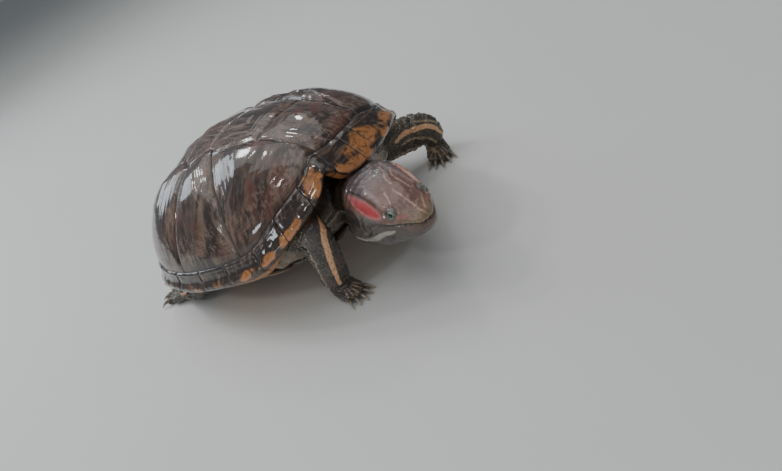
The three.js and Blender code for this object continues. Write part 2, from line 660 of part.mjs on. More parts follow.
// Legs: each is one form, parted at the wrist or ankle by a thin cut.
const standingRoom = standing(shellRoom);
for (const [name, { foot, joints, up, hand }] of Object.entries(LEGS)) {
  const whole = aboveGround(limb(joints, 9, 6, new THREE.Vector3(...up).normalize()).add(footOf(hand)));
  const footSide = (gap) => {
    const side = new THREE.BoxGeometry(FOOT_ROOM, FOOT_ROOM, FOOT_ROOM);
    side.translate(FOOT_ROOM / 2 + gap, 0, -FOOT_ROOM / 6);
    side.rotateY(radians(ANKLE_SLANT));
    side.rotateZ(radians(hand.heading));
    side.translate(...hand.wrist);
    return solidFrom(side);
  };
  const leg = whole.subtract(footSide(-SEAM / 2)).subtract(standingRoom);
  addNode(turtle, name, largest(leg), COLOURS.skin, 0.45);
  addNode(turtle, foot, largest(whole.intersect(footSide(SEAM / 2))), COLOURS.skin, 0.45);
}
addNode(turtle, 'tail', aboveGround(limb(TAIL_JOINTS, 8, 7)).subtract(standingRoom), COLOURS.skin, 0.45);

turtle.position.set(ORIGIN_SHIFT.x, ORIGIN_SHIFT.y, 0);

export default turtle;
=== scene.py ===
import math

import bpy
import numpy as np
from bpy.props import FloatProperty, FloatVectorProperty, PointerProperty
from mathutils import Matrix, Vector
from mathutils.bvhtree import BVHTree


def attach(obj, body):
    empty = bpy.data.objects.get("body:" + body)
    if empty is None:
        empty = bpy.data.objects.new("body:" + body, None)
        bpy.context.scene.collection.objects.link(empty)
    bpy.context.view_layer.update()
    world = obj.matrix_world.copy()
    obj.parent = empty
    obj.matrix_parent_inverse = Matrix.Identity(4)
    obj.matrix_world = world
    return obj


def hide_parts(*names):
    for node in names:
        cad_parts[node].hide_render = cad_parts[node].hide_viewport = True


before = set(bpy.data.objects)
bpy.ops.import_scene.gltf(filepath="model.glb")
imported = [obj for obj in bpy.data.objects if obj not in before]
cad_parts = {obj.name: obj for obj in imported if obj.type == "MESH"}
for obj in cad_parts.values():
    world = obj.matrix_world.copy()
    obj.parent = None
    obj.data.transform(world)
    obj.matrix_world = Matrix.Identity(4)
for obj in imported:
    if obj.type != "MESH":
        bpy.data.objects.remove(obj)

bl_info = {
    "name": "Red-eared slider model",
    "version": (1, 0, 0),
    "blender": (4, 5, 0),
    "location": "3D View > Sidebar > Turtle",
    "description": "Dresses the turtle's solids with horn plates, skin, scales, claws and eyes",
    "category": "Object",
}

# Lengths below are in millimetres and angles in degrees; meshes are turned to metres at the end.

# ---- The shell's driving dimensions, in the shell's own frame ----

HALF_LENGTH = 55.0
HALF_WIDTH = 41.3
DOME_HEIGHT = 32.0
FRONT_ARCH = 9.8
OUTLINE_POWER = 2.25
OUTLINE_TAPER = 0.07
KEEL = 0.8
ARCH_FALL = (24.0, 68.0)
RIGHT_FLARE = 2.2
RIGHT_NOTCH = (3.6, 20.0, 4.2)
HIND_ARCH = 2.0
TAIL_DROP = 0.5
PLATE_THICKNESS = 2.0
PLASTRON_DEPTH = 10.0
SHELL_PITCH = 10.0
SHELL_LIFT = 17.85
ORIGIN_SHIFT = (-7.43, -6.24)

NUCHAL_HALF_BEARING = 4.0
VERTEBRAL_FRONT_BEARING = 15.0
VERTEBRAL_REAR_BEARING = 161.0
VERTEBRAL_SEAMS = ((29.0, 11.5), (6.0, 11.5), (-13.0, 12.0), (-33.0, 10.5))
COSTAL_SEAMS = ((9.0, 14.5, 64.5), (-3.0, 16.0, 98.0), (-23.0, 14.5, 130.0))
MARGINAL_BEARINGS = (4, 17, 31, 45, 59, 74, 89, 104, 118, 132, 147, 163, 179.6)
PLASTRON_ROWS = ("gular", "humeral", "pectoral", "abdominal", "femoral", "anal")
PLASTRON_SEAMS = (
    (43.5, 8.5), (37.0, 15.5), (26.5, 22.5), (9.0, 35.6), (-14.0, 35.6), (-34.0, 20.5), (-50.0, 12.0),
)
BRIDGE_FRONT = 22.0
BRIDGE_REAR = -19.0
AXILLA_HALF_WIDTH = 24.0
ANAL_NOTCH = 3.5
SIDES = ((1.0, "left"), (-1.0, "right"))

# ---- The head, in its own frame: snout tip at the origin, x forward, in head units ----

HEAD_PLACE = np.array((75.2, -13.2, -6.4))
HEAD_ROLL = -2.8
HEAD_DIP = 22.5
HEAD_YAW = -19.3
HEAD_UNIT = 31.4 / 28.0
# Distance behind the snout, half width, height of the crown, depth of the jaw.
HEAD_SECTIONS = (
    (0.0, 2.4, -0.6, -3.9), (0.7, 3.3, 0.5, -5.2), (2.0, 4.4, 1.4, -6.5), (5.0, 6.1, 2.6, -8.8),
    (8.0, 7.3, 3.7, -11.0), (12.0, 8.5, 4.4, -12.9), (16.0, 9.3, 4.8, -14.1), (20.0, 9.5, 4.8, -14.4),
    (23.5, 8.6, 4.2, -13.2), (26.0, 7.0, 3.0, -11.2), (28.0, 5.4, 1.6, -9.2), (30.0, 4.2, 0.6, -7.6),
)
HEAD_SQUARENESS = 2.0 / 2.3
# Left side of cheek and throat: x, y, z, radius.
CHEEK_ROWS = (
    (-25.0, 5.0, -8.2, 4.0), (-20.0, 5.3, -8.8, 5.2), (-14.0, 5.0, -7.6, 4.4), (-12.0, 4.4, -7.0, 4.4),
    (-9.0, 3.8, -6.0, 3.4),
)
EYE_PLACE = (-7.3, 4.2, 0.45)
EYE_RADIUS = 2.0
EYE_SPOT = (-6.8, 5.25, 1.25)
GAZE = (0.38, 0.74, 0.54)

# ---- Limbs, standing on the ground: x, y, height, half width, half height ----

LEGS = {
    "foreleg_right": dict(
        foot="forefoot_right", up=(1.0, 0.1, 0.3), wrist=(34.8, -21.0, 3.6), heading=-12.0, palm=5.2,
        spread=28.0, toes=5, toe=4.1, claw=3.9, web=0.35,
        joints=((16, -15, 20, 5.5, 6.5), (29, -20.5, 24, 5.2, 5.6), (39, -22.4, 26, 4.5, 5.2),
                (37.8, -21.9, 16, 4.7, 5.0), (34.8, -21.0, 5.8, 4.3, 4.7))),
    "foreleg_left": dict(
        foot="forefoot_left", up=(0.2, 0.1, 1.0), wrist=(30.2, 50.4, 3.6), heading=-50.0, palm=5.2,
        spread=33.0, toes=5, toe=4.1, claw=3.9, web=0.35,
        joints=((14, 15, 16.5, 5.5, 6.8), (19, 31, 15.4, 5.6, 6.9), (24, 43.5, 12.6, 5.0, 6.8),
                (28.6, 49.6, 10.6, 4.6, 6.2), (30.8, 51.0, 5.4, 3.8, 4.4))),
    "hindleg_right": dict(
        foot="hindfoot_right", up=(0.0, 0.0, 1.0), wrist=(-35.0, -31.2, 2.8), heading=-170.0, palm=5.8,
        spread=34.0, toes=4, toe=5.4, claw=4.0, web=0.62,
        joints=((-20, -16, 13, 6.5, 5.5), (-21, -26, 10.5, 6.6, 5.2), (-24, -31.4, 7.6, 5.6, 4.6),
                (-29.5, -32.2, 5.6, 4.6, 3.8), (-35, -31.2, 4, 3.6, 3))),
    "hindleg_left": dict(
        foot="hindfoot_left", up=(0.0, 0.0, 1.0), wrist=(-33.5, 36.4, 2.8), heading=158.0, palm=5.8,
        spread=36.0, toes=4, toe=5.4, claw=4.0, web=0.62,
        joints=((-20, 16, 13, 6.5, 5.5), (-19.5, 27, 10.5, 6.6, 5.2), (-22.5, 34.5, 7.6, 5.6, 4.6),
                (-28, 36.5, 5.6, 4.6, 3.8), (-33.5, 36.4, 4, 3.6, 3))),
}
UPWARDS = (0.0, 0.0, 1.0)
TAIL_JOINTS = ((-38, 0, 8, 5, 4.5), (-46, 0.2, 4.6, 3.8, 3.6), (-53, 2.4, 2.4, 2.7, 2.4),
               (-58.2, 7.4, 1.5, 1.8, 1.6), (-59.6, 14, 1, 0.9, 0.9))


# ---- Small mathematics ----

def smooth(value, low, high):
    """0 below low, 1 above high, and the cubic 3u^2 - 2u^3 between."""
    u = np.clip((value - low) / (high - low), 0.0, 1.0)
    return u * u * (3.0 - 2.0 * u)


def mix(a, b, share):
    """a plus the share of the way from a to b."""
    return a + (b - a) * share


def bell(value, middle, width):
    """exp(-((value - middle) / width)^2): a rounded bump one unit high."""
    return np.exp(-((value - middle) / width) ** 2)


def signed_power(base, exponent):
    """The base's size raised to the exponent, with the base's sign."""
    return np.sign(base) * np.abs(base) ** exponent


def unit(vectors):
    """Vectors divided by their lengths."""
    return vectors / np.maximum(np.linalg.norm(vectors, axis=-1, keepdims=True), 1e-12)


def ripple(points, size, seed, waves=9):
    """A soft random field from -1 to 1: the mean of sine waves in random directions whose
    wavelengths lie round the given size."""
    draw = np.random.default_rng(seed)
    total = np.zeros(points.shape[:-1])
    for _ in range(waves):
        direction = unit(draw.normal(size=points.shape[-1]))
        length = size * draw.uniform(0.7, 1.5)
        total = total + np.sin(points @ direction * 2.0 * math.pi / length + draw.uniform(0, 6.283))
    return total / math.sqrt(waves) * 0.8


def circle(count):
    """Angles of a whole turn in equal steps, in radians."""
    return np.linspace(0.0, 2.0 * np.pi, count, endpoint=False)


def turned(axis, degrees):
    """The matrix of a turn about an axis."""
    return np.array(Matrix.Rotation(math.radians(degrees), 3, axis))


PITCH = turned("Y", -SHELL_PITCH)
HEAD_AXES = turned("Z", HEAD_YAW) @ turned("Y", HEAD_DIP) @ turned("X", HEAD_ROLL)


def shell_to_stand(points):
    """The shell's frame pitched about y and lifted off the ground."""
    return np.asarray(points) @ PITCH.T + (0.0, 0.0, SHELL_LIFT)


def stand_to_shell(points):
    return (np.asarray(points) - (0.0, 0.0, SHELL_LIFT)) @ PITCH


def stand_to_world(points):
    """The standing frame moved over the origin, in metres."""
    return (np.asarray(points) + (*ORIGIN_SHIFT, 0.0)) / 1000.0


def world_to_stand(points):
    """Metres about the origin back to the standing frame."""
    return np.asarray(points) * 1000.0 - (*ORIGIN_SHIFT, 0.0)


def head_to_stand(points):
    """Head units scaled, turned with the head and put in its place on the shell."""
    return shell_to_stand(HEAD_PLACE + HEAD_UNIT * np.asarray(points) @ HEAD_AXES.T)


def stand_to_head(points):
    return (stand_to_shell(points) - HEAD_PLACE) @ HEAD_AXES / HEAD_UNIT


# ---- The shell's surfaces ----

def outward(x, y):
    """Share of the way from the middle to the rim in plan: a superellipse's radius, narrower in front."""
    u, v = x / HALF_LENGTH, y / HALF_WIDTH
    facing = u / np.maximum(np.hypot(u, v), 1e-9)
    side = v / (1.0 - OUTLINE_TAPER * facing)
    return (np.abs(u) ** OUTLINE_POWER + np.abs(side) ** OUTLINE_POWER) ** (1.0 / OUTLINE_POWER)


def rim_share(points):
    """Share of the way out to the rim, for points of the standing frame."""
    return outward(*stand_to_shell(points)[:, :2].T)


def bearing_point(bearing, share=1.0):
    """Plan point at a bearing (0 front, 90 left) and a share of the way out to the rim."""
    x = HALF_LENGTH * np.cos(np.radians(bearing))
    y = HALF_WIDTH * np.sin(np.radians(bearing))
    scale = share / outward(x, y)
    return np.stack([x * scale, y * scale], axis=-1)


def margin_start(bearing):
    """Share of the way out to the rim where the marginals begin: they are widest over the neck."""
    aside = np.abs((np.asarray(bearing) + 540.0) % 360.0 - 180.0)
    narrowing = 0.045 * smooth(aside, 12.0, 26.0) + 0.015 * smooth(aside, 44.0, 60.0)
    return 0.905 + narrowing - 0.015 * smooth(aside, 108.0, 130.0)


def ring_point(bearing):
    """Plan point at a bearing where the marginals begin."""
    return bearing_point(bearing, margin_start(bearing))


def rim_bearing(x, y):
    """Bearing of a plan point, stretched so that the rim is a circle."""
    return np.degrees(np.arctan2(y / HALF_WIDTH, x / HALF_LENGTH))


def notch_rise(x, y):
    """The narrow fold in the rim before the right shoulder."""
    rise, bearing, spread = RIGHT_NOTCH
    return rise * bell(rim_bearing(x, y), -bearing, spread)


def rim_height(x, y):
    """The rim's height: an arch over the neck, a lift over the right shoulder and each hind leg."""
    bearing = np.abs(rim_bearing(x, y))
    rear = np.maximum(-np.cos(np.radians(bearing)), 0.0)
    flare = np.where(y < 0, RIGHT_FLARE * bell(bearing, 21.0, 9.0), 0.0)
    arch = FRONT_ARCH * (1.0 - smooth(bearing, *ARCH_FALL)) + flare
    return arch + HIND_ARCH * np.sin(np.pi * rear) ** 2 - TAIL_DROP * rear + notch_rise(x, y)


def dome_height(x, y):
    """Rim height times share cubed, plus the dome's own rise, plus a low keel; the narrow fold
    reaches only a short way up."""
    share = np.minimum(outward(x, y), 1.0)
    keel = KEEL * bell(y, 0.0, 4.0) * (1.0 - share ** 2)
    notch = notch_rise(x, y)
    rim = (rim_height(x, y) - notch) * share ** 3 + notch * share ** 12
    return rim + DOME_HEIGHT * (1.0 - share ** 2.5) ** 0.72 + keel


def plastron_height(x, y):
    """The underside: flat, turned up in front, its sides rising as the bridges."""
    front = 3.2 * np.clip((x - 24.0) / 22.0, 0.0, 1.0) ** 2
    rear = 0.6 * np.clip((-30.0 - x) / 20.0, 0.0, 1.0)
    return -PLASTRON_DEPTH + front + rear + 5.6 * smooth(np.abs(y), 21.0, 36.5) ** 1.3


def normal_of(height, x, y):
    """Upward normal of a height function: (minus slope along x, minus slope along y, 1) as a unit."""
    step = 0.05
    slope_x = (height(x + step, y) - height(x - step, y)) / (2.0 * step)
    slope_y = (height(x, y + step) - height(x, y - step)) / (2.0 * step)
    return unit(np.stack([-slope_x, -slope_y, np.ones_like(slope_x)], axis=-1))


# ---- Meshes from arrays ----

def lattice(rows, turns):
    """Triangles over a grid of rows by turns points, closed round the turns."""
    row = np.arange(rows - 1)[:, None]
    turn = np.arange(turns)[None, :]
    a = row * turns + turn
    b = row * turns + (turn + 1) % turns
    quads = np.stack([a, b, b + turns, a + turns], axis=-1).reshape(-1, 4)
    return np.concatenate([quads[:, [0, 1, 2]], quads[:, [0, 2, 3]]])


def closed_rows(grid):
    """A closed surface from a grid (rows, turns, 3): each end row is drawn into its middle point."""
    rows, turns, _ = grid.shape
    points = np.concatenate([grid.reshape(-1, 3), grid[0].mean(axis=0)[None], grid[-1].mean(axis=0)[None]])
    ring = np.arange(turns)
    following = (ring + 1) % turns
    first = np.stack([np.full(turns, rows * turns), following, ring], axis=-1)
    base = (rows - 1) * turns
    last = np.stack([np.full(turns, rows * turns + 1), base + ring, base + following], axis=-1)
    return points, outward_faces(points, np.concatenate([lattice(rows, turns), first, last]))


def outward_faces(points, triangles):
    """Turns all faces over if the signed volume is negative."""
    a, b, c = (points[triangles[:, k]] for k in range(3))
    return triangles if np.einsum("ij,ij->i", a, np.cross(b, c)).sum() > 0 else triangles[:, ::-1]


def joined(parts):
    """Several meshes as one, each of points and triangles."""
    points, triangles, start = [], [], 0
    for part_points, part_triangles in parts:
        points.append(part_points)
        triangles.append(part_triangles + start)
        start += len(part_points)
    return np.concatenate(points), np.concatenate(triangles)


def moved(form, move):
    """A form, which is points and triangles, with its points put through a function."""
    points, triangles = form
    return move(points), triangles


def plain_mesh(name, points, triangles):
    """A smooth-shaded mesh of triangles."""
    mesh = bpy.data.meshes.new(name)
    mesh.vertices.add(len(points))
    mesh.vertices.foreach_set("co", np.ascontiguousarray(points, dtype=np.float32).ravel())
    mesh.loops.add(3 * len(triangles))
    mesh.loops.foreach_set("vertex_index", np.ascontiguousarray(triangles, dtype=np.int32).ravel())
    mesh.polygons.add(len(triangles))
    mesh.polygons.foreach_set("loop_start", np.arange(len(triangles), dtype=np.int32) * 3)
    mesh.update(calc_edges=True)
    mesh.validate()
    mesh.shade_smooth()
    return mesh


def arrays_of(mesh):
    """Points and triangles of a mesh as arrays."""
    points = np.empty(len(mesh.vertices) * 3)
    mesh.vertices.foreach_get("co", points)
    mesh.calc_loop_triangles()
    triangles = np.empty(len(mesh.loop_triangles) * 3, dtype=np.int32)
    mesh.loop_triangles.foreach_get("vertices", triangles)
    return points.reshape(-1, 3), triangles.reshape(-1, 3)


def piece(name, points, triangles, finish, slot, fields, replaced=()):
    """A visible piece from standing points, riding on the only body; fields are per-point attributes."""
    mesh = plain_mesh(name, stand_to_world(points), triangles)
    for key, values in fields.items():
        values = np.ascontiguousarray(values, dtype=np.float32)
        kind = "FLOAT" if values.ndim == 1 else "FLOAT_VECTOR"
        target = mesh.attributes.new(key, kind, "POINT")
        target.data.foreach_set("value" if values.ndim == 1 else "vector", values.ravel())
    mesh.materials.append(finish)
    obj = bpy.data.objects.new(name, mesh)
    bpy.context.scene.collection.objects.link(obj)
    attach(obj, "root")
    if replaced:
        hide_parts(*replaced)
    return obj


# ---- Materials ----

class Finish:
    """A material's node tree; each method adds a node and gives back its output socket."""

    def __init__(self, name, roughness, coat=0.0, coat_roughness=0.05, specular=0.5):
        self.material = bpy.data.materials.new(name)
        self.material.use_nodes = True
        self.tree = self.material.node_tree
        self.shader = self.tree.nodes["Principled BSDF"]
        self.put_all(self.shader, {"Roughness": roughness, "Specular IOR Level": specular,
                                   "Coat Weight": coat, "Coat Roughness": coat_roughness})

    def put(self, node, key, value):
        socket = node.inputs[key]
        if isinstance(value, bpy.types.NodeSocket):
            self.tree.links.new(value, socket)
        elif socket.type == "RGBA":
            socket.default_value = (*value[:3], 1.0)
        else:
            socket.default_value = value

    def put_all(self, node, values):
        for key, value in values.items():
            self.put(node, key, value)

    def node(self, kind, inputs=None, **settings):
        node = self.tree.nodes.new("ShaderNode" + kind)
        for key, value in settings.items():
            setattr(node, key, value)
        self.put_all(node, inputs or {})
        return node

    def field(self, name, output="Fac"):
        return self.node("Attribute", attribute_name=name).outputs[output]

    def place(self, stretch=1.0, turn=(0.0, 0.0, 0.0)):
        """Object coordinates in millimetres, turned and then stretched."""
        source = self.node("TexCoord").outputs["Object"]
        scale = tuple(1000.0 * s for s in np.broadcast_to(stretch, 3))
        rotation = tuple(math.radians(t) for t in turn)
        return self.node("Mapping", {"Vector": source, "Rotation": rotation, "Scale": scale}).outputs[0]

    def noise(self, vector, scale=1.0, detail=4.0, distortion=0.0):
        return self.node("TexNoise", {"Vector": vector, "Scale": scale, "Detail": detail,
                                      "Roughness": 0.55, "Distortion": distortion}).outputs["Fac"]

    def cloud(self, stretch=1.0, scale=1.0, detail=4.0, distortion=0.0):
        """Noise over the object's own millimetres."""
        return self.noise(self.place(stretch), scale, detail, distortion)

    def cells(self, vector):
        """Distance to the nearest border between random cells."""
        return self.node("TexVoronoi", {"Vector": vector, "Scale": 1.0, "Randomness": 1.0},
                         feature="DISTANCE_TO_EDGE").outputs["Distance"]

    def math(self, operation, a, b=0.0):
        return self.node("Math", {0: a, 1: b}, operation=operation).outputs[0]

    def times(self, *factors):
        product = factors[0]
        for factor in factors[1:]:
            product = self.math("MULTIPLY", product, factor)
        return product

    def plus(self, a, b):
        return self.math("ADD", a, b)

    def centred(self, value, width):
        """A noise about one half turned to one about zero, times a width."""
        return self.times(self.math("SUBTRACT", value, 0.5), width)

    def band(self, value, low, high, to_low=0.0, to_high=1.0):
        """Smooth step of a value from low to high."""
        return self.node("MapRange", {"Value": value, "From Min": low, "From Max": high, "To Min": to_low,
                                      "To Max": to_high}, interpolation_type="SMOOTHSTEP").outputs[0]

    def blend(self, share, a, b):
        return self.node("Mix", {0: share, 6: a, 7: b}, data_type="RGBA").outputs[2]

    def over(self, under, colour, *shares):
        """A colour laid over another by the product of the shares."""
        return self.blend(self.times(*shares), under, colour)

    def bump(self, height, depth, strength=1.0):
        """Bump with its depth in millimetres."""
        inputs = {"Strength": strength, "Distance": depth / 1000.0, "Height": height}
        return self.node("Bump", inputs).outputs[0]

    def done(self, colour, **inputs):
        """The material with its colour and, by input name, its roughness and normals."""
        self.put_all(self.shader, {"Base Color": colour, **inputs})
        return self.material


# ---- Settings a user may change ----

def colour_setting(name, description, default):
    return FloatVectorProperty(name=name, description=description, subtype="COLOR", size=3, min=0.0,
                               max=1.0, default=default)


def length_setting(name, description, default):
    return FloatProperty(name=name, description=description, unit="LENGTH", min=0.0, precision=5,
                         default=default)


class TurtleShellSettings(bpy.types.PropertyGroup):
    """Relief and colours of the horn plates."""
    swell: length_setting("Plate swell", "How far the middle of a plate rises over its border", 0.0017)
    groove: length_setting("Seam depth", "Depth of the groove between two plates", 0.00035)
    ring_depth: length_setting("Growth ring depth", "Depth of the growth rings", 0.00006)
    horn: colour_setting("Horn", "Dark ground of the plates", (0.032, 0.019, 0.015))
    olive: colour_setting("Olive streaks", "Pale streaks down the plates", (0.19, 0.120, 0.080))
    maroon: colour_setting("Maroon streaks", "Reddish streaks between them", (0.13, 0.045, 0.030))
    orange: colour_setting("Rim blotches", "Orange blotches of the marginal plates", (0.46, 0.19, 0.06))
    belly: colour_setting("Plastron", "Yellow ground of the belly plates", (0.52, 0.30, 0.07))


class TurtleSkinSettings(bpy.types.PropertyGroup):
    """Colours and relief of the skin."""
    crown: colour_setting("Crown", "Taupe of the head", (0.165, 0.084, 0.064))
    limb: colour_setting("Limbs", "Dark olive-grey of the legs and neck", (0.055, 0.043, 0.030))
    ear: colour_setting("Ear patch", "Red patch behind the eye", (0.60, 0.075, 0.080))
    stripe: colour_setting("Stripes", "Cream-yellow stripes", (0.86, 0.53, 0.29))
    fold_depth: length_setting("Folds", "Depth of the folds of loose skin", 0.0005)
    voxel: length_setting("Skin grain", "Size of the skin's mesh cells", 0.00030)


class TurtleStageSettings(bpy.types.PropertyGroup):
    """Camera, floor and lights."""
    floor: colour_setting("Floor", "Pale floor", (0.74, 0.75, 0.72))
    key: FloatProperty(name="Key light", description="Power of the main light", unit="POWER",
                       min=0.0, default=0.9)
    lens: FloatProperty(name="Lens", description="Focal length on a 36 mm sensor", unit="CAMERA",
                        min=1.0, default=32.225)


def settings():
    """The groups of the shell, the skin and the stage."""
    return [getattr(bpy.context.scene, name) for name in SETTINGS]


# ---- Plates of the dome and the plastron ----

# Distance between the points of a plate's outline.
DOME_PITCH = 0.42
PLASTRON_PITCH = 0.6


def wander(points, hold):
    """Moves plan points a little so that seams are not ruled lines, alike on both sides; fades where
    hold falls to zero."""
    side = np.abs(points[:, 1])
    folded = np.column_stack([points[:, 0], side])
    shift = np.stack([ripple(folded, 9.0, 11),
                      ripple(folded, 9.0, 12) * np.sign(points[:, 1]) * smooth(side, 0.0, 4.0)], axis=-1)
    return points + 0.45 * shift * hold[:, None]


def corner_point(corner):
    """Plan point of a corner: ("at", x, y) or ("ring", bearing)."""
    return np.array(corner[1:], dtype=float) if corner[0] == "at" else ring_point(corner[1])


def split_sides(corners, pitch):
    """Points along a closed chain of corners at the given pitch; a side between two ring corners
    follows the ring where the marginals begin."""
    sides = []
    for corner, following in zip(corners, corners[1:] + corners[:1]):
        a, b = corner_point(corner), corner_point(following)
        share = np.linspace(0.0, 1.0, max(int(np.linalg.norm(b - a) / pitch), 3), endpoint=False)
        if corner[0] == following[0] == "ring":
            sides.append(ring_point(mix(corner[1], following[1], share)))
        else:
            sides.append(mix(a, b, share[:, None]))
    return np.concatenate(sides)


def fine_outline(corners):
    """Outline in plan through corners, with its seams wandering a little away from the ring."""
    points = split_sides(corners, DOME_PITCH)
    start = margin_start(rim_bearing(*points.T))
    return wander(points, np.clip((start - outward(*points.T)) / 0.07, 0.0, 1.0))


def on_side(side, outline, middle):
    """An outline with its middle, mirrored for the right side."""
    return (outline, middle) if side > 0 else (outline[::-1] * (1.0, -1.0), middle * (1.0, -1.0))


def both_sides(half):
    """Corners on the left followed by their mirrors in turn about."""
    mirrored = [("ring", -c[1]) if c[0] == "ring" else ("at", c[1], -c[2]) for c in half]
    return half + mirrored[::-1]


def vertebral_corners(number):
    """Corners of a plate on the midline, 1 in front to 5 behind."""
    seam = [("at", x, y) for x, y in VERTEBRAL_SEAMS]
    if number == 1:
        return both_sides([("ring", VERTEBRAL_FRONT_BEARING), seam[0]])
    if number == 5:
        rear = VERTEBRAL_REAR_BEARING
        mirror = ("at", VERTEBRAL_SEAMS[3][0], -VERTEBRAL_SEAMS[3][1])
        return [seam[3], ("ring", rear), ("ring", 360.0 - rear), mirror]
    middle = ("at", *COSTAL_SEAMS[number - 2][:2])
    return both_sides([seam[number - 2], middle, seam[number - 1]])


def costal_corners(number):
    """Corners of a plate on the left flank, 1 in front to 4 behind."""
    corner = [("at", x, y) for x, y, _ in COSTAL_SEAMS]
    foot = [("ring", bearing) for _, _, bearing in COSTAL_SEAMS]
    front = [("ring", VERTEBRAL_FRONT_BEARING)] if number == 1 else [foot[number - 2], corner[number - 2]]
    rear = [("ring", VERTEBRAL_REAR_BEARING)] if number == 4 else [corner[number - 1], foot[number - 1]]
    return front + [("at", *VERTEBRAL_SEAMS[number - 1])] + rear


def border_distance(points, outline):
    """Least distance in plan from each point to a closed outline."""
    start, end = outline, np.roll(outline, -1, axis=0)
    along = end - start
    offset = points[:, None, :] - start[None]
    share = np.clip((offset * along).sum(-1) / np.maximum((along ** 2).sum(-1), 1e-9), 0.0, 1.0)
    return np.linalg.norm(offset - share[..., None] * along, axis=-1).min(axis=1)


# How far a plate's side wall stands back from its outline.
PLATE_TRIM = 0.03


def plate_form(outline, areola, height, inner, relief, rings=62):
    """A plate over an outline in plan, drawn as rings about its areola: the outer face lies on the
    height function raised by the relief, the side wall drops one thickness along the surface's
    normal, and the inner face closes it. The share runs 0 at the areola to 1 at the border."""
    turns = len(outline)
    share = 1.0 - (1.0 - np.linspace(0.0, 1.0, rings + 1)[1:]) ** 1.35
    plan = areola + (outline[None] - areola) * share[:, None, None]
    distance = np.linalg.norm(outline - areola, axis=1)
    trimmed = areola + (outline - areola) * (1.0 - PLATE_TRIM / distance)[:, None]
    plan[-1] = trimmed
    flat = plan.reshape(-1, 2)
    angle = np.arctan2(flat[:, 1] - areola[1], flat[:, 0] - areola[0])
    edge = border_distance(flat, outline).reshape(rings, turns)
    shares = np.repeat(share, turns)
    lift = relief(flat, shares, angle, edge.ravel())
    normal = normal_of(height, *flat.T)
    surface = np.column_stack([flat, height(*flat.T)])
    grid = (surface - inner * normal * lift[:, None]).reshape(rings, turns, 3)
    rim, rim_normal = surface.reshape(rings, turns, 3)[-1], normal.reshape(rings, turns, 3)[-1]
    wall = [rim + inner * rim_normal * depth for depth in (0.9, PLATE_THICKNESS)]
    within = []
    for reach in (0.7, 0.35):
        spot = areola + (trimmed - areola) * reach
        base = np.column_stack([spot, height(*spot.T)])
        within.append(base + inner * normal_of(height, *spot.T) * PLATE_THICKNESS)
    points, triangles = closed_rows(np.concatenate([grid, np.stack(wall + within)]))
    extra = len(points) - rings * turns
    spoke = np.column_stack([3.0 * np.cos(angle), 3.0 * np.sin(angle), 4.0 * shares])
    fields = {
        "share": np.append(shares, np.ones(extra)),
        "edge": np.append(edge, np.zeros(extra)),
        "spoke": np.concatenate([spoke, np.zeros((extra, 3))]),
    }
    return points, triangles, fields


def growth_relief(swell, groove, ring_depth, rings, seed):
    """Relief of a plate: a rounded rise towards the areola, terraces ending in sharp growth grooves,
    fine spokes across the outer rings, and a rounded dip along the border."""
    def relief(plan, share, angle, edge):
        around = np.column_stack([2.0 * np.cos(angle), 2.0 * np.sin(angle)])
        uneven = share + 0.012 * ripple(around, 1.6, seed) + 0.006 * ripple(plan, 3.0, seed + 1)
        rise = swell * (1.0 - share ** 2.6) + 0.25 * swell * (1.0 - smooth(share, 0.22, 0.42))
        terrace = np.abs(np.sin(np.pi * rings * uneven ** 1.25)) ** 0.55
        zone = smooth(share, 0.30, 0.5)
        spokes = np.abs(np.sin(angle * 38.0 + 3.0 * ripple(plan, 5.0, seed + 2)))
        texture = 0.10 * ripple(plan, 3.4, seed + 3) + 0.03 * ripple(plan, 0.9, seed + 4)
        outer = smooth(share, 0.55, 0.75) * (1.0 - smooth(share, 0.93, 1.0))
        dip = groove * np.exp(-(edge / 0.75) ** 1.5)
        return rise + ring_depth * zone * terrace + 0.012 * outer * spokes + texture * 0.12 - dip
    return relief


SEAM_DARK = (0.012, 0.008, 0.006)


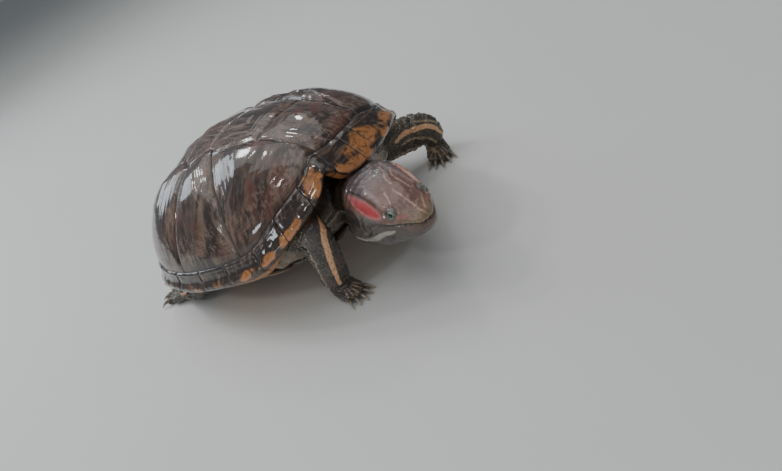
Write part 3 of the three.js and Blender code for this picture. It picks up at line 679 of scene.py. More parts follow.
def make_horn():
    """Dark wet horn: olive and maroon streaks down the dome, pale spokes across the outer rings."""
    shell = settings()[0]
    f = Finish("horn", 0.5, coat=1.0, coat_roughness=0.07, specular=0.25)
    pitched, lengthwise = (0.0, SHELL_PITCH, 0.0), (0.0, SHELL_PITCH, -8.0)
    spoke = f.field("spoke", "Vector")
    share, edge, ridge = f.field("share"), f.field("edge"), f.field("ridge")
    fine = f.place((1.3, 0.11, 0.11), pitched)
    flank_streaks = f.noise(f.place((0.24, 0.09, 0.09), pitched), 1.0, 2.5, 0.8)
    ridge_streaks = f.noise(f.place((0.045, 0.34, 0.34), lengthwise), 1.0, 4.0, 1.2)
    streak = f.band(f.blend(ridge, flank_streaks, ridge_streaks), 0.42, 0.68)
    ridge_hairs = f.noise(f.place((0.10, 0.95, 0.95), lengthwise), 1.0, 4.0, 0.8)
    hair = f.band(f.blend(ridge, f.noise(fine, 1.0, 4.0, 0.8), ridge_hairs), 0.50, 0.66)
    red = f.band(f.noise(f.place((0.14, 0.07, 0.07), (0.0, SHELL_PITCH, 30.0)), 1.0, 4.0, 1.0), 0.52, 0.66)
    strokes = f.band(f.noise(spoke, 3.4, 3.0, 0.3), 0.46, 0.62)
    outer = f.times(f.band(share, 0.60, 0.74), f.band(share, 0.97, 0.90))
    patchy = f.band(f.cloud(0.07), 0.38, 0.62)
    on_ridge = f.plus(0.22, f.times(ridge, 0.43))
    ring = f.node("TexWave", {"Vector": spoke, "Scale": 2.6, "Distortion": 0.6, "Detail": 1.0},
                  wave_type="BANDS", bands_direction="Z", wave_profile="SIN").outputs["Fac"]
    colour = shell.horn
    for tone, *shares in (
            (shell.olive, streak, 0.8), (shell.maroon, red, 0.75),
            ((0.42, 0.30, 0.26), hair, patchy, on_ridge), ((0.28, 0.19, 0.145), strokes, outer, 0.55),
            (shell.horn, f.band(ring, 0.35, 0.0), 0.28), (SEAM_DARK, f.band(edge, 0.45, 0.1), 0.5)):
        colour = f.over(colour, tone, *shares)
    height = f.plus(f.plus(f.times(hair, 0.5), f.cloud(1.0, 2.4)), f.times(ring, 0.6))
    return f.done(colour, **{
        "Roughness": f.band(f.noise(fine, 2.0, 3.0), 0.3, 0.7, 0.42, 0.62),
        "Normal": f.bump(height, 0.07, 0.6), "Coat Normal": f.bump(f.cloud(1.0, 0.22, 1.0), 0.10, 0.4)})


def make_rim_horn():
    """Marginal horn: orange blotches in front, broken by dark smudges, darker towards the tail."""
    shell = settings()[0]
    f = Finish("rim_horn", 0.45, coat=1.0, coat_roughness=0.07, specular=0.3)
    glow, edge, out = f.field("glow"), f.field("edge"), f.field("out")
    smudge = f.cloud(0.5, distortion=1.2)
    patch = f.band(f.plus(glow, f.centred(f.cloud(0.22, distortion=0.8), 1.7)), 0.30, 0.60)
    streak = f.band(f.cloud((0.6, 0.1, 0.2), distortion=1.4), 0.50, 0.66)
    warm = f.over(shell.orange, (0.20, 0.075, 0.022), f.band(smudge, 0.42, 0.66))
    warm = f.over(warm, (0.62, 0.25, 0.10), f.band(out, 0.70, 0.85), 0.7)
    colour = f.over(f.over(shell.horn, shell.olive, streak, 0.7), warm, patch)
    colour = f.over(colour, (0.030, 0.018, 0.012), f.band(smudge, 0.60, 0.72), 0.7)
    colour = f.over(colour, SEAM_DARK, f.band(edge, 0.24, 0.05), 0.6)
    height = f.plus(f.cloud(1.0, 1.6), f.times(streak, 0.4))
    return f.done(colour, **{"Normal": f.bump(height, 0.10, 0.6),
                             "Coat Normal": f.bump(f.cloud(1.0, 0.35, 2.0), 0.18, 0.4)})


def make_belly_horn():
    """Yellow plastron horn with a dark cloudy blotch on each plate."""
    shell = settings()[0]
    f = Finish("belly_horn", 0.4, coat=0.8, coat_roughness=0.1)
    share, edge = f.field("share"), f.field("edge")
    blot = f.band(f.plus(share, f.centred(f.cloud(0.2, 1.0, 5.0, 1.0), 1.5)), 0.62, 0.42)
    colour = f.over(shell.belly, (0.60, 0.26, 0.08), f.cloud(0.1, 1.0, 3.0))
    colour = f.over(colour, (0.022, 0.016, 0.010), blot, 0.9)
    colour = f.over(colour, (0.05, 0.028, 0.012), f.band(edge, 0.5, 0.1))
    return f.done(colour, Normal=f.bump(f.cloud(1.0, 1.4), 0.10, 0.5))


class TURTLE_OT_dome_plates(bpy.types.Operator):
    """Make the vertebral and costal plates"""
    bl_idname = "turtle.dome_plates"
    bl_label = "Dome plates"

    def execute(self, context):
        shell = settings()[0]
        horn = make_horn()
        plates = [(f"vertebral_{n}", vertebral_corners(n), 1.0, (-1.5, 0.0), 0.6) for n in range(1, 6)]
        for number in range(1, 5):
            for side, word in SIDES:
                plates.append((f"costal_{word}_{number}", costal_corners(number), side, (-2.0, -5.0), 1.0))
        for seed, (name, corners, side, shift, rise) in enumerate(plates):
            outline = fine_outline(corners)
            outline, areola = on_side(side, outline, outline.mean(axis=0) + shift)
            relief = growth_relief(shell.swell * 1000.0 * rise, shell.groove * 1000.0,
                                   shell.ring_depth * 1000.0, 7.0, 100 + 10 * seed)
            points, triangles, fields = plate_form(outline, areola, dome_height, -1.0, relief)
            fields["ridge"] = np.full(len(points), 1.0 if rise < 1.0 else 0.0)
            piece(name + "_horn", shell_to_stand(points), triangles, horn, "carapace", fields, (name,))
        return {"FINISHED"}


# ---- Marginals ----

# Orange blotches round the front of the rim: bearing and its spread, place down the section (0 at
# the costal seam, 3 on the rim) and its spread, and strength.
RIM_BLOTCHES = (
    (2.0, 10.5, 1.9, 1.0, 1.0), (24.0, 8.0, 2.2, 1.0, 1.0), (-7.0, 9.5, 3.3, 0.8, 1.2),
    (-26.0, 4.6, 1.9, 1.7, 1.0), (-43.0, 6.0, 3.1, 0.8, 1.1), (42.0, 7.0, 2.5, 0.9, 0.9),
    (-56.0, 4.0, 3.0, 0.6, 0.6), (13.0, 5.0, 3.3, 0.6, 0.9),
)


MARGIN_DEPTH = 2.2
# Half the gap between two plates of the rim, and the radius that turns it into an angle.
HALF_SEAM = 0.02
SEAM_RADIUS = 45.0


def bridging(bearing):
    """1 along the bridge between carapace and plastron, 0 in front of it and behind."""
    return smooth(bearing, 46.0, 60.0) * (1.0 - smooth(bearing, 118.0, 132.0))


def rim_section(bearing, tooth):
    """Corners of the marginal section at each bearing: from the costal seam over the rim and back
    underneath, as (outset, height over the rim)."""
    rim = bearing_point(bearing)
    reach = np.linalg.norm(rim, axis=-1)
    out = rim / reach[:, None]
    lift = rim_height(*rim.T)
    bridge = bridging(np.abs(bearing))
    flare = 0.9 + 0.9 * tooth * smooth(np.abs(bearing), 100.0, 130.0)

    def on_dome(share):
        spot = bearing_point(bearing, share)
        return np.stack([np.linalg.norm(spot, axis=-1) - reach, dome_height(*spot.T) - lift], axis=-1)

    def at(outset, height):
        return np.stack([outset + 0.0 * bearing, height + 0.0 * bearing], axis=-1)

    start = margin_start(bearing)
    seam = on_dome(start)
    normal = normal_of(dome_height, *ring_point(bearing).T)
    inner = seam - MARGIN_DEPTH * np.stack([(normal[:, :2] * out).sum(-1), normal[:, 2]], axis=-1)
    corners = [
        seam, on_dome(mix(start, 1.0, 0.42)), on_dome(mix(start, 1.0, 0.77)), at(flare, 0.4),
        at(flare - 0.4, -1.2), at(-MARGIN_DEPTH, mix(-2.4, -2.8, bridge)),
        at(mix(-6.3, -4.6, bridge), mix(-2.6, -4.2, bridge)), inner,
    ]
    return np.stack(corners, axis=1), rim, out, lift


def through(corners, fineness):
    """Catmull-Rom curve through the corners of each section, with an even count on every side;
    the inner corner's two sides stay straight."""
    count = corners.shape[1]
    share = (np.arange(fineness) / fineness)[None, :, None]
    sides = []
    for k in range(count):
        before, a, b, after = (corners[:, (k + j) % count][:, None] for j in (-1, 0, 1, 2))
        if k in (0, count - 1):
            before = 2 * a - b
        if k >= count - 2:
            after = 2 * b - a
        curve = 0.5 * (2 * a + (b - before) * share + (2 * before - 5 * a + 4 * b - after) * share ** 2
                       + (3 * a - before - 3 * b + after) * share ** 3)
        sides.append(curve)
    return np.concatenate(sides, axis=1)


def marginal_form(start, end, shell, seed, fineness=9):
    """A marginal plate: its section carried from one bearing to the next, with growth rings that run
    parallel to the seam and the front border, and a dip along every seam."""
    steps = max(int(abs(end - start) * 2.6), 16)
    along = np.linspace(0.0, 1.0, steps + 1)
    along = mix(along, smooth(along, 0.0, 1.0), 0.35)
    way = math.copysign(1.0, end - start)
    gap = math.degrees(HALF_SEAM / SEAM_RADIUS) * way
    bearing = mix(start + gap, end - gap, along)
    corners, rim, out, lift = rim_section(bearing, along ** 2)
    section = through(corners, fineness)
    turns = section.shape[1]
    position = np.arange(turns) / fineness
    plan = rim[:, None] + out[:, None] * section[..., :1]
    grid = np.concatenate([plan, lift[:, None, None] + section[..., 1:]], axis=-1)
    around = np.roll(grid, -1, axis=1) - np.roll(grid, 1, axis=1)
    onward = np.gradient(grid, axis=0)
    normal = unit(np.cross(onward, around)) * -way
    width = np.linalg.norm(bearing_point(end) - bearing_point(start))
    ends = np.minimum(along, 1.0 - along)[:, None] * width
    top = (np.minimum(position, 5.0) * 2.0)[None] + 0.0 * ends
    edge = np.minimum(ends, top)
    outer = (1.0 - smooth(position, 4.6, 5.4))[None]
    share = np.clip(np.maximum(1.0 - along[:, None], 1.0 - position[None] / 3.6), 0.0, 1.0)
    wobble = 0.02 * ripple(grid, 4.0, seed)
    terrace = np.abs(np.sin(np.pi * 5.0 * (share + wobble))) ** 0.55
    relief = shell.ring_depth * 700.0 * terrace * smooth(edge, 0.0, 0.8) + 0.05 * ripple(grid, 2.6, seed + 1)
    cross = np.minimum(ends, 3.0 + 0.0 * edge)
    relief = relief + 0.12 * (1.0 - np.exp(-cross / 0.9)) - 0.10
    cut = 0.13 * np.exp(-(cross / 0.20) ** 1.5) + shell.groove * 600.0 * np.exp(-(top / 0.32) ** 1.5)
    cut = cut - 0.22 * bell(top, 0.95, 0.4)
    grid = grid + normal * ((relief - cut) * outer)[..., None]
    points, triangles = closed_rows(grid)
    flat = np.ones_like(edge)
    facing = bearing[:, None]
    front = 1.0 - smooth(np.abs(facing), 50.0, 110.0) * 0.6
    glow = front * bell(along, 0.5, 0.30)[:, None] * bell(position, 2.9, 1.1)[None]
    glow = glow * smooth(np.abs(facing), 44.0, 56.0)
    for middle, spread, place, reach, strength in RIM_BLOTCHES:
        glow = np.maximum(glow, strength * bell(facing, middle, spread) * bell(position, place, reach)[None])
    under = (smooth(position, 4.2, 5.0) * (1.0 - smooth(position, 6.2, 6.9)))[None] * 0.8
    fields = {"edge": np.minimum(cross, top * 1.2), "glow": np.maximum(glow, under) * flat,
              "out": position[None] / 4.0 * flat}
    return points, triangles, {key: np.append(values, [0.0, 0.0]) for key, values in fields.items()}


class TURTLE_OT_marginal_plates(bpy.types.Operator):
    """Make the nuchal and the marginal plates round the rim"""
    bl_idname = "turtle.marginal_plates"
    bl_label = "Marginal plates"

    def execute(self, context):
        shell = settings()[0]
        horn = make_rim_horn()
        plates = [("nuchal", -NUCHAL_HALF_BEARING, NUCHAL_HALF_BEARING)]
        for side, word in SIDES:
            for k, (start, end) in enumerate(zip(MARGINAL_BEARINGS, MARGINAL_BEARINGS[1:])):
                plates.append((f"marginal_{word}_{k + 1}", side * start, side * end))
        for seed, (name, start, end) in enumerate(plates):
            points, triangles, fields = marginal_form(start, end, shell, 500 + 10 * seed)
            piece(name + "_horn", shell_to_stand(points), triangles, horn, "margin", fields, (name,))
        return {"FINISHED"}


# ---- Plastron ----

def plastron_half(row):
    """Corners of the left half of a row of belly plates, from the midline out and back."""
    seam = [("at", x, y) for x, y in PLASTRON_SEAMS]
    front, rear = PLASTRON_SEAMS[row], PLASTRON_SEAMS[row + 1]
    outer = {
        2: [("at", BRIDGE_FRONT, AXILLA_HALF_WIDTH), ("at", BRIDGE_FRONT - 4.0, 34.0)],
        4: [("at", BRIDGE_REAR + 2.0, 35.0), ("at", BRIDGE_REAR, AXILLA_HALF_WIDTH)],
    }.get(row, [])
    tail = rear[0] + (ANAL_NOTCH if row == 5 else 0.0)
    return [("at", front[0], 0.0), seam[row], *outer, seam[row + 1], ("at", tail, 0.0)]


class TURTLE_OT_plastron(bpy.types.Operator):
    """Make the six rows of belly plates"""
    bl_idname = "turtle.plastron"
    bl_label = "Plastron"

    def execute(self, context):
        horn = make_belly_horn()
        for row, name in enumerate(PLASTRON_ROWS):
            parts, both = [], []
            for side, _ in SIDES:
                outline = split_sides(plastron_half(row), PLASTRON_PITCH)
                outline = outline + np.stack([0.4 * ripple(outline, 9.0, 31), 0.0 * outline[:, 0]], -1)
                outline = np.column_stack([outline[:, 0], np.maximum(outline[:, 1], 0.03)])
                outline, middle = on_side(side, outline, outline.mean(axis=0))
                relief = growth_relief(0.30, 0.4, 0.07, 5.0, 700 + row)
                points, triangles, fields = plate_form(outline, middle, plastron_height, 1.0, relief, 40)
                points = shell_to_stand(points)
                points[:, 2] = np.maximum(points[:, 2], 0.0)
                parts.append((points, triangles))
                both.append(fields)
            fields = {key: np.concatenate([half[key] for half in both]) for key in ("share", "edge")}
            piece(f"plastron_{name}_horn", *joined(parts), horn, "plastron", fields, (f"plastron_{name}",))
        return {"FINISHED"}


# ---- Flesh: closed forms that are fused into one skin ----

def curve_through(points, t):
    """Centripetal Catmull-Rom curve through points, with an equal part of t on every span."""
    points = np.asarray(points, dtype=float)
    full = np.concatenate([[2 * points[0] - points[1]], points, [2 * points[-1] - points[-2]]])
    span = np.minimum((t * (len(points) - 1)).astype(int), len(points) - 2)
    u = (t * (len(points) - 1) - span)[:, None]
    p0, p1, p2, p3 = (full[span + j] for j in range(4))
    d0, d1, d2 = (np.sqrt(np.linalg.norm(b - a, axis=1))[:, None] for a, b in ((p0, p1), (p1, p2), (p2, p3)))
    m1 = ((p1 - p0) / d0 - (p2 - p0) / (d0 + d1) + (p2 - p1) / d1) * d1
    m2 = ((p2 - p1) / d1 - (p3 - p1) / (d1 + d2) + (p3 - p2) / d2) * d1
    return hermite(p1, p2, m1, m2, u)


def hermite(a, b, slope_a, slope_b, u):
    """The cubic from a at u = 0 to b at u = 1 that has the given slopes at both."""
    return ((2 * u ** 3 - 3 * u ** 2 + 1) * a + (u ** 3 - 2 * u ** 2 + u) * slope_a
            + (3 * u ** 2 - 2 * u ** 3) * b + (u ** 3 - u ** 2) * slope_b)


def table_at(table, t):
    """Smooth curve through rows of (position, values...), with slopes from each row's neighbours."""
    table = np.asarray(table, dtype=float)
    last = len(table) - 1
    k = np.clip(np.searchsorted(table[:, 0], t, side="right") - 1, 0, last - 1)
    span = (table[k + 1, 0] - table[k, 0])[:, None]
    low, high = np.maximum(np.arange(last + 1) - 1, 0), np.minimum(np.arange(last + 1) + 1, last)
    slopes = (table[high, 1:] - table[low, 1:]) / (table[high, 0] - table[low, 0])[:, None]
    u = np.clip((t - table[k, 0])[:, None] / span, 0.0, 1.0)
    return hermite(table[k, 1:], table[k + 1, 1:], slopes[k] * span, slopes[k + 1] * span, u)


def limb_frames(joints, up, steps):
    """Along a limb: its path, half width and half height, and the onward, level and upper directions."""
    joints = np.asarray(joints, dtype=float)
    t = np.linspace(0.0, 1.0, steps)
    path = curve_through(joints[:, :3], t)
    girth = table_at(np.column_stack([np.linspace(0.0, 1.0, len(joints)), joints[:, 3:]]), t)
    tangent = unit(np.gradient(path, axis=0))
    across = unit(np.cross(np.broadcast_to(unit(np.array(up, dtype=float)), tangent.shape), tangent))
    upward = np.cross(tangent, across)
    return path, girth, tangent, across, upward


def limb_form(joints, up=UPWARDS, steps=40, sides=28, trim=0.0, cap=0.0):
    """Elliptical sections square to a smooth path through the joints; trim thins the whole form and
    cap rounds off its far end."""
    path, girth, tangent, across, upward = limb_frames(joints, up, steps)
    angle = circle(sides)
    girth = np.maximum(girth - trim, 0.05)
    ring = (across[:, None] * (girth[:, :1] * np.cos(angle))[..., None]
            + upward[:, None] * (girth[:, 1:] * np.sin(angle))[..., None])
    grid = path[:, None] + ring
    if cap > 0:
        ends = [path[-1] + tangent[-1] * cap * math.sin(a) + ring[-1] * math.cos(a) for a in (0.5, 1.0, 1.35)]
        grid = np.concatenate([grid, np.stack(ends)])
    return closed_rows(grid)


def trunk_form():
    """The body inside the shell: it follows the dome and the plastron from within and ends short of
    the rim, further back in front and behind."""
    turn = np.linspace(0.0, 360.0, 90, endpoint=False)
    rim = bearing_point(turn)
    reach = np.linalg.norm(rim, axis=1)
    shoulder = 4.0 * bell(np.abs(rim_bearing(*rim.T)), 50.0, 14.0)
    inset = 8.2 + 7.5 * np.cos(np.radians(turn)) ** 2 - shoulder
    edge = rim * ((reach - inset - 0.15) / reach)[:, None]
    rows = []
    for share, top in [(s, True) for s in (0.06, 0.3, 0.5, 0.7, 0.83, 0.92, 0.97, 1.0)] + [
            (s, False) for s in (1.0, 0.95, 0.8, 0.5, 0.06)]:
        spot = edge * share
        low = plastron_height(*spot.T) + PLATE_THICKNESS + 2.0
        high = dome_height(*spot.T) - 5.5 - 3.0 * share ** 4
        rows.append(np.column_stack([spot, np.maximum(high, low + 1.0) if top else low]))
    return moved(closed_rows(np.stack(rows)), shell_to_stand)


# Left side, in the shell's frame: x, y, height over the plastron's inner face, radius.
ARM_FOLDS = (
    (4.0, 33.5, 3.4, 2.2), (14.0, 33.5, 3.5, 3.0), (22.0, 29.5, 3.8, 3.7), (28.0, 22.0, 4.0, 3.9),
    (33.5, 13.0, 4.0, 3.7), (36.5, 4.0, 4.0, 3.4),
)


def arm_folds():
    """Centre lines of the loose skin round each foreleg's opening, standing, with their radii."""
    x, y, lift, radius = np.array(ARM_FOLDS).T
    height = plastron_height(x, y) + PLATE_THICKNESS + lift
    centres = [shell_to_stand(np.column_stack([x, side * y, height])) for side, _ in SIDES]
    return [np.column_stack([centre, radius]) for centre in centres]


def shoulder_rolls():
    """Loose skin between each foreleg's opening and the front of the plastron."""
    return [limb_form(np.column_stack([line, line[:, 3] * 0.85]), steps=60) for line in arm_folds()]


# Left side, standing: x, y, height, half width, half height.
CHEST_ROWS = (
    (20.0, 18.0, 19.0, 8.0, 5.0), (28.0, 15.0, 19.5, 8.0, 4.6), (34.0, 9.5, 19.8, 6.2, 4.2),
    (38.5, 3.0, 21.0, 5.0, 3.8),
)


def chest():
    """Loose skin over the front of the plastron's inner face, between the neck and each foreleg."""
    return [limb_form([(x, side * y, z, a, b) for x, y, z, a, b in CHEST_ROWS], steps=50, sides=32)
            for side, _ in SIDES]


# Left side: bearing, share of the way out to the rim, height over the plastron's inner face, radius.
GROIN_ROWS = (
    (110.0, 0.74, 2.8, 2.8), (122.0, 0.77, 3.9, 4.2), (134.0, 0.78, 4.4, 4.8), (146.0, 0.78, 4.4, 4.8),
    (158.0, 0.78, 4.0, 4.4), (169.0, 0.77, 3.4, 3.6),
)


def groin_rolls():
    """Loose skin between each hind leg's opening and the rear of the plastron."""
    bearing, share, lift, radius = np.array(GROIN_ROWS).T
    x, y = (bearing_point(bearing) * share[:, None]).T
    height = plastron_height(x, y) + PLATE_THICKNESS + lift
    centres = [shell_to_stand(np.column_stack([x, side * y, height])) for side, _ in SIDES]
    return [limb_form(np.column_stack([centre, radius, radius * 0.85]), steps=60) for centre in centres]


def head_form():
    """Superellipse sections along the head, carried on into the neck and rounded at the snout."""
    behind = np.concatenate([np.linspace(0.0, 4.0, 14), np.linspace(4.6, 30.0, 44)])
    width, top, bottom = table_at(HEAD_SECTIONS, behind).T
    scale = np.concatenate([[0.35, 0.65, 0.88], np.ones_like(behind)])
    behind = np.concatenate([[-0.32, -0.24, -0.1], behind])
    width, top, bottom = (np.concatenate([np.full(3, v[0]), v]) for v in (width, top, bottom))
    angle = circle(72)
    y = (scale * width)[:, None] * signed_power(np.cos(angle), HEAD_SQUARENESS)
    z = ((top + bottom) / 2)[:, None] + (scale * (top - bottom) / 2)[:, None] * signed_power(
        np.sin(angle), HEAD_SQUARENESS)
    x = np.repeat(-behind[:, None], len(angle), 1)
    return moved(closed_rows(np.stack([x, y, z], -1)), head_to_stand)


def cheeks():
    """The fullness of cheek and throat on both sides of the head, in head units."""
    rows = [[(x, side * y, z, r, r) for x, y, z, r in CHEEK_ROWS] for side, _ in SIDES]
    return [moved(limb_form(half, steps=50, sides=32), head_to_stand) for half in rows]


def neck_joints():
    """The neck in the shell's frame, from inside the shell to the nape."""
    nape = HEAD_PLACE + HEAD_UNIT * np.array((-28.0, 0.0, -3.8)) @ HEAD_AXES.T
    end = nape + HEAD_AXES[:, 0] * 1.5
    return ((24.0, 1.0, -2.4, 9.2, 6.4), (nape[0] - 13.0, 0.6, -2.2, 8.6, 6.6),
            (nape[0] - 5.0, nape[1] * 0.75, mix(-2.2, nape[2], 0.6), 7.6, 6.6), (*end, 6.5, 6.3))


def toe_rows(leg):
    """For each toe: its rows of (x, y, height, half width, half height), and those of its claw."""
    x, y, _ = leg["wrist"]
    ahead = math.radians(leg["heading"])
    base = (x + math.cos(ahead) * leg["palm"] * 0.35, y + math.sin(ahead) * leg["palm"] * 0.35)
    toes = []
    for k in range(leg["toes"]):
        share = k / (leg["toes"] - 1)
        angle = ahead + math.radians(mix(-leg["spread"], leg["spread"], share))
        knuckle = leg["palm"] * 0.45 + 1.0
        tip = knuckle + leg["toe"] * (1.0 - abs(share - 0.5) * 0.5)

        def row(distance, height, *size):
            return (base[0] + distance * math.cos(angle), base[1] + distance * math.sin(angle), height, *size)

        toe = [row(knuckle - 2.4, 2.0, 1.45, 1.5), row(mix(knuckle, tip, 0.12), 1.95, 1.42, 1.55),
               row(mix(knuckle, tip, 0.5), 1.5, 1.2, 1.35), row(mix(knuckle, tip, 0.82), 1.55, 1.2, 1.38),
               row(tip, 1.25, 0.98, 1.1)]
        claw = [row(tip - 0.9, 1.45, 0.72, 0.74), row(tip + leg["claw"] * 0.25, 1.72, 0.66, 0.66),
                row(tip + leg["claw"] * 0.6, 1.3, 0.42, 0.44), row(tip + leg["claw"] * 0.98, 0.28, 0.09, 0.1)]
        toes.append((toe, claw))
    return base, toes


def palm_rows(leg, rise):
    """Rows of (x, y, height, half width, half height) along the palm; rise lifts the first."""
    x, y, height = leg["wrist"]
    palm, ahead = leg["palm"], math.radians(leg["heading"])
    rows = ((-1.5, height + rise, palm * 0.6, 2.9), (palm * 0.3, 2.3, palm * 0.8, 2.5),
            (palm, 1.4, palm * 0.82, 1.8), (palm * 1.35, 1.2, palm * 0.58, 1.4))
    return [(x + math.cos(ahead) * distance, y + math.sin(ahead) * distance, *rest)
            for distance, *rest in rows]


def foot_forms(leg):
    """Palm, toes and webs of one foot, flat on the ground."""
    forms = [limb_form(palm_rows(leg, 1.4), cap=1.2)]
    base, toes = toe_rows(leg)
    forms += [limb_form(toe, steps=24, sides=16, cap=0.7) for toe, _ in toes]
    reach = leg["palm"] * 0.45 + leg["toe"] * leg["web"] + 1.0
    fan = np.radians(leg["heading"] + np.linspace(-leg["spread"], leg["spread"], 25))
    bays = reach * (1.0 - 0.13 * np.abs(np.sin(np.linspace(0.0, math.pi * (leg["toes"] - 1), 25))))
    arc = np.column_stack([base[0] + bays * np.cos(fan), base[1] + bays * np.sin(fan)])
    outline = np.concatenate([[base], arc])
    web = [np.column_stack([outline, np.full(len(outline), height)]) for height in (0.1, 1.0)]
    return forms + [closed_rows(np.stack(web))]


def loose_object(name, points, triangles):
    """An object in the scene that has no body or slot."""
    source = bpy.data.objects.new(name, plain_mesh(name, points, triangles))
    bpy.context.scene.collection.objects.link(source)
    return source


def fused(forms, voxel):
    """The forms remeshed as one closed surface of cells of the given size, as arrays."""
    source = loose_object("forms", *joined(forms))
    remesh = source.modifiers.new("fuse", "REMESH")
    remesh.mode = "VOXEL"
    remesh.voxel_size = voxel
    return taken(source)


def thinned(points, triangles, keep, target):
    """The surface with fewer triangles, where keep (0 to 1 per point) holds on to detail."""
    source = loose_object("dense", points, triangles)
    group = source.vertex_groups.new(name="loose")
    for level in range(11):
        chosen = np.flatnonzero(np.round((1.0 - keep) * 10).astype(int) == level)
        if level and len(chosen):
            group.add(chosen.tolist(), level / 10.0, "REPLACE")
    fewer = source.modifiers.new("fewer", "DECIMATE")
    fewer.ratio = min(target / len(triangles), 1.0)
    fewer.vertex_group = "loose"
    fewer.vertex_group_factor = 4.0
    return taken(source)


def taken(source):
    """Points and triangles of an object's evaluated mesh; the object is then removed."""
    arrays = arrays_of(source.evaluated_get(bpy.context.evaluated_depsgraph_get()).to_mesh())
    old = source.data
    bpy.data.objects.remove(source)
    bpy.data.meshes.remove(old)
    return arrays


def edges_of(triangles):
    """Each edge once, as a pair of points."""
    pairs = np.concatenate([triangles[:, [0, 1]], triangles[:, [1, 2]], triangles[:, [2, 0]]])
    return np.unique(np.sort(pairs, axis=1), axis=0)


def neighbour_mean(values, edges, count):
    """Mean of each point's neighbours' values."""
    total = np.zeros((count, values.shape[1]))
    a, b = edges.T
    for k in range(values.shape[1]):
        total[:, k] = (np.bincount(a, values[b, k], count) + np.bincount(b, values[a, k], count))
    number = np.bincount(a, minlength=count) + np.bincount(b, minlength=count)
    return total / np.maximum(number, 1)[:, None]


def point_normals(points, triangles):
    """Unit sum, at each point, of the area vectors of its triangles."""
    a, b, c = (points[triangles[:, k]] for k in range(3))
    face = np.cross(b - a, c - a)
    total = np.stack([sum(np.bincount(triangles[:, k], face[:, j], len(points)) for k in range(3))
                      for j in range(3)], -1)
    return unit(total)


def capsule_distance(points, line):
    """Distance in the points' own unit to a chain of (x, y, z, radius), less the radius there."""
    line = np.asarray(line, dtype=float)
    best = np.full(len(points), 1e6)
    for a, b in zip(line[:-1], line[1:]):
        along = b[:3] - a[:3]
        share = np.clip(((points - a[:3]) @ along) / max(along @ along, 1e-9), 0.0, 1.0)
        gap = np.linalg.norm(points - a[:3] - share[:, None] * along, axis=1) - mix(a[3], b[3], share)
        best = np.minimum(best, gap)
    return best


# ---- Markings and painted shade: chains of (x, y, z, radius) ----

# In head units. Ear patch, painted crease shade, eye mark and jaw stripes are also mirrored; the rest is not.
EAR_PATCH = (
    (-20.5, -7.1, 2.0, 0.4), (-19.0, -7.4, 1.9, 1.0), (-16.9, -7.5, 1.6, 1.5), (-14.7, -7.3, 1.3, 1.7),
    (-12.6, -7.2, 0.8, 1.7), (-11.0, -7.0, 0.6, 1.3), (-9.6, -6.8, 0.6, 0.7),
)
LEFT_PATCH = (
    (-18.5, 6.6, 2.8, 0.4), (-16.3, 6.9, 2.4, 0.9), (-13.5, 6.7, 2.1, 1.0), (-10.6, 6.3, 1.8, 0.8),
    (-8.6, 5.8, 1.9, 0.4),
)
PALE_LINES = (
    ((-10.0, -0.7, 4.1, 0.12), (-8.2, -0.6, 3.7, 0.24), (-6.3, -0.4, 3.1, 0.26), (-4.8, -0.3, 2.5, 0.26),
     (-3.3, -0.2, 2.0, 0.24), (-1.9, -0.2, 1.3, 0.22), (-0.7, 0.3, 0.4, 0.16)),
    ((-12.4, -2.0, 4.3, 0.08), (-10.8, -2.6, 4.0, 0.15), (-9.3, -3.1, 3.5, 0.16), (-7.9, -3.8, 3.2, 0.12)),
    ((-16.5, 4.3, 4.1, 0.12), (-14.6, 3.0, 4.4, 0.2), (-12.7, 2.6, 4.2, 0.22), (-11.0, 2.7, 4.0, 0.2),
     (-9.4, 2.8, 3.7, 0.18), (-7.2, 2.8, 3.1, 0.1)),
    ((-21.1, 3.0, 4.4, 0.15), (-18.6, 2.6, 4.6, 0.2), (-16.7, 2.3, 4.7, 0.2), (-14.7, 0.9, 4.7, 0.2),
     (-12.8, 0.5, 4.5, 0.2), (-11.3, 0.4, 4.3, 0.1)),
    ((-4.9, 3.3, 2.1, 0.15), (-3.8, 2.5, 1.8, 0.25), (-2.3, 1.6, 1.3, 0.25), (-1.2, 1.0, 0.8, 0.15)),
)
BROAD_BANDS = (
    ((-16.5, -4.6, 4.0, 0.4), (-14.5, -4.7, 3.7, 0.6), (-12.6, -4.9, 3.3, 0.6), (-10.6, -5.2, 2.8, 0.55),
     (-8.6, -5.5, 2.3, 0.35)),
    ((-21.0, 4.2, 4.2, 0.5), (-17.0, 4.0, 4.3, 0.7), (-13.0, 4.6, 3.8, 0.6), (-9.0, 4.6, 3.0, 0.4)),
)
# Painted shade: a dark line along the crease over the ear patch, and a dark shadow at the rear of the mouth
# line under the cheek.
CREASE_SHADE = (
    ((-21.5, -6.4, 2.6, 0.12), (-19.8, -6.3, 2.9, 0.3), (-17.6, -6.1, 3.2, 0.3), (-13.6, -6.0, 2.8, 0.25),
     (-11.2, -5.9, 2.3, 0.1)),
    ((-5.9, -6.3, -0.9, 0.15), (-4.6, -5.8, -0.8, 0.4), (-3.4, -5.0, -0.6, 0.3)),
)
EYE_MARK = ((-5.2, -4.8, 1.0, 0.35), (-4.2, -4.2, 1.0, 0.45), (-3.4, -3.5, 1.1, 0.45), (-3.0, -2.9, 1.2, 0.3))
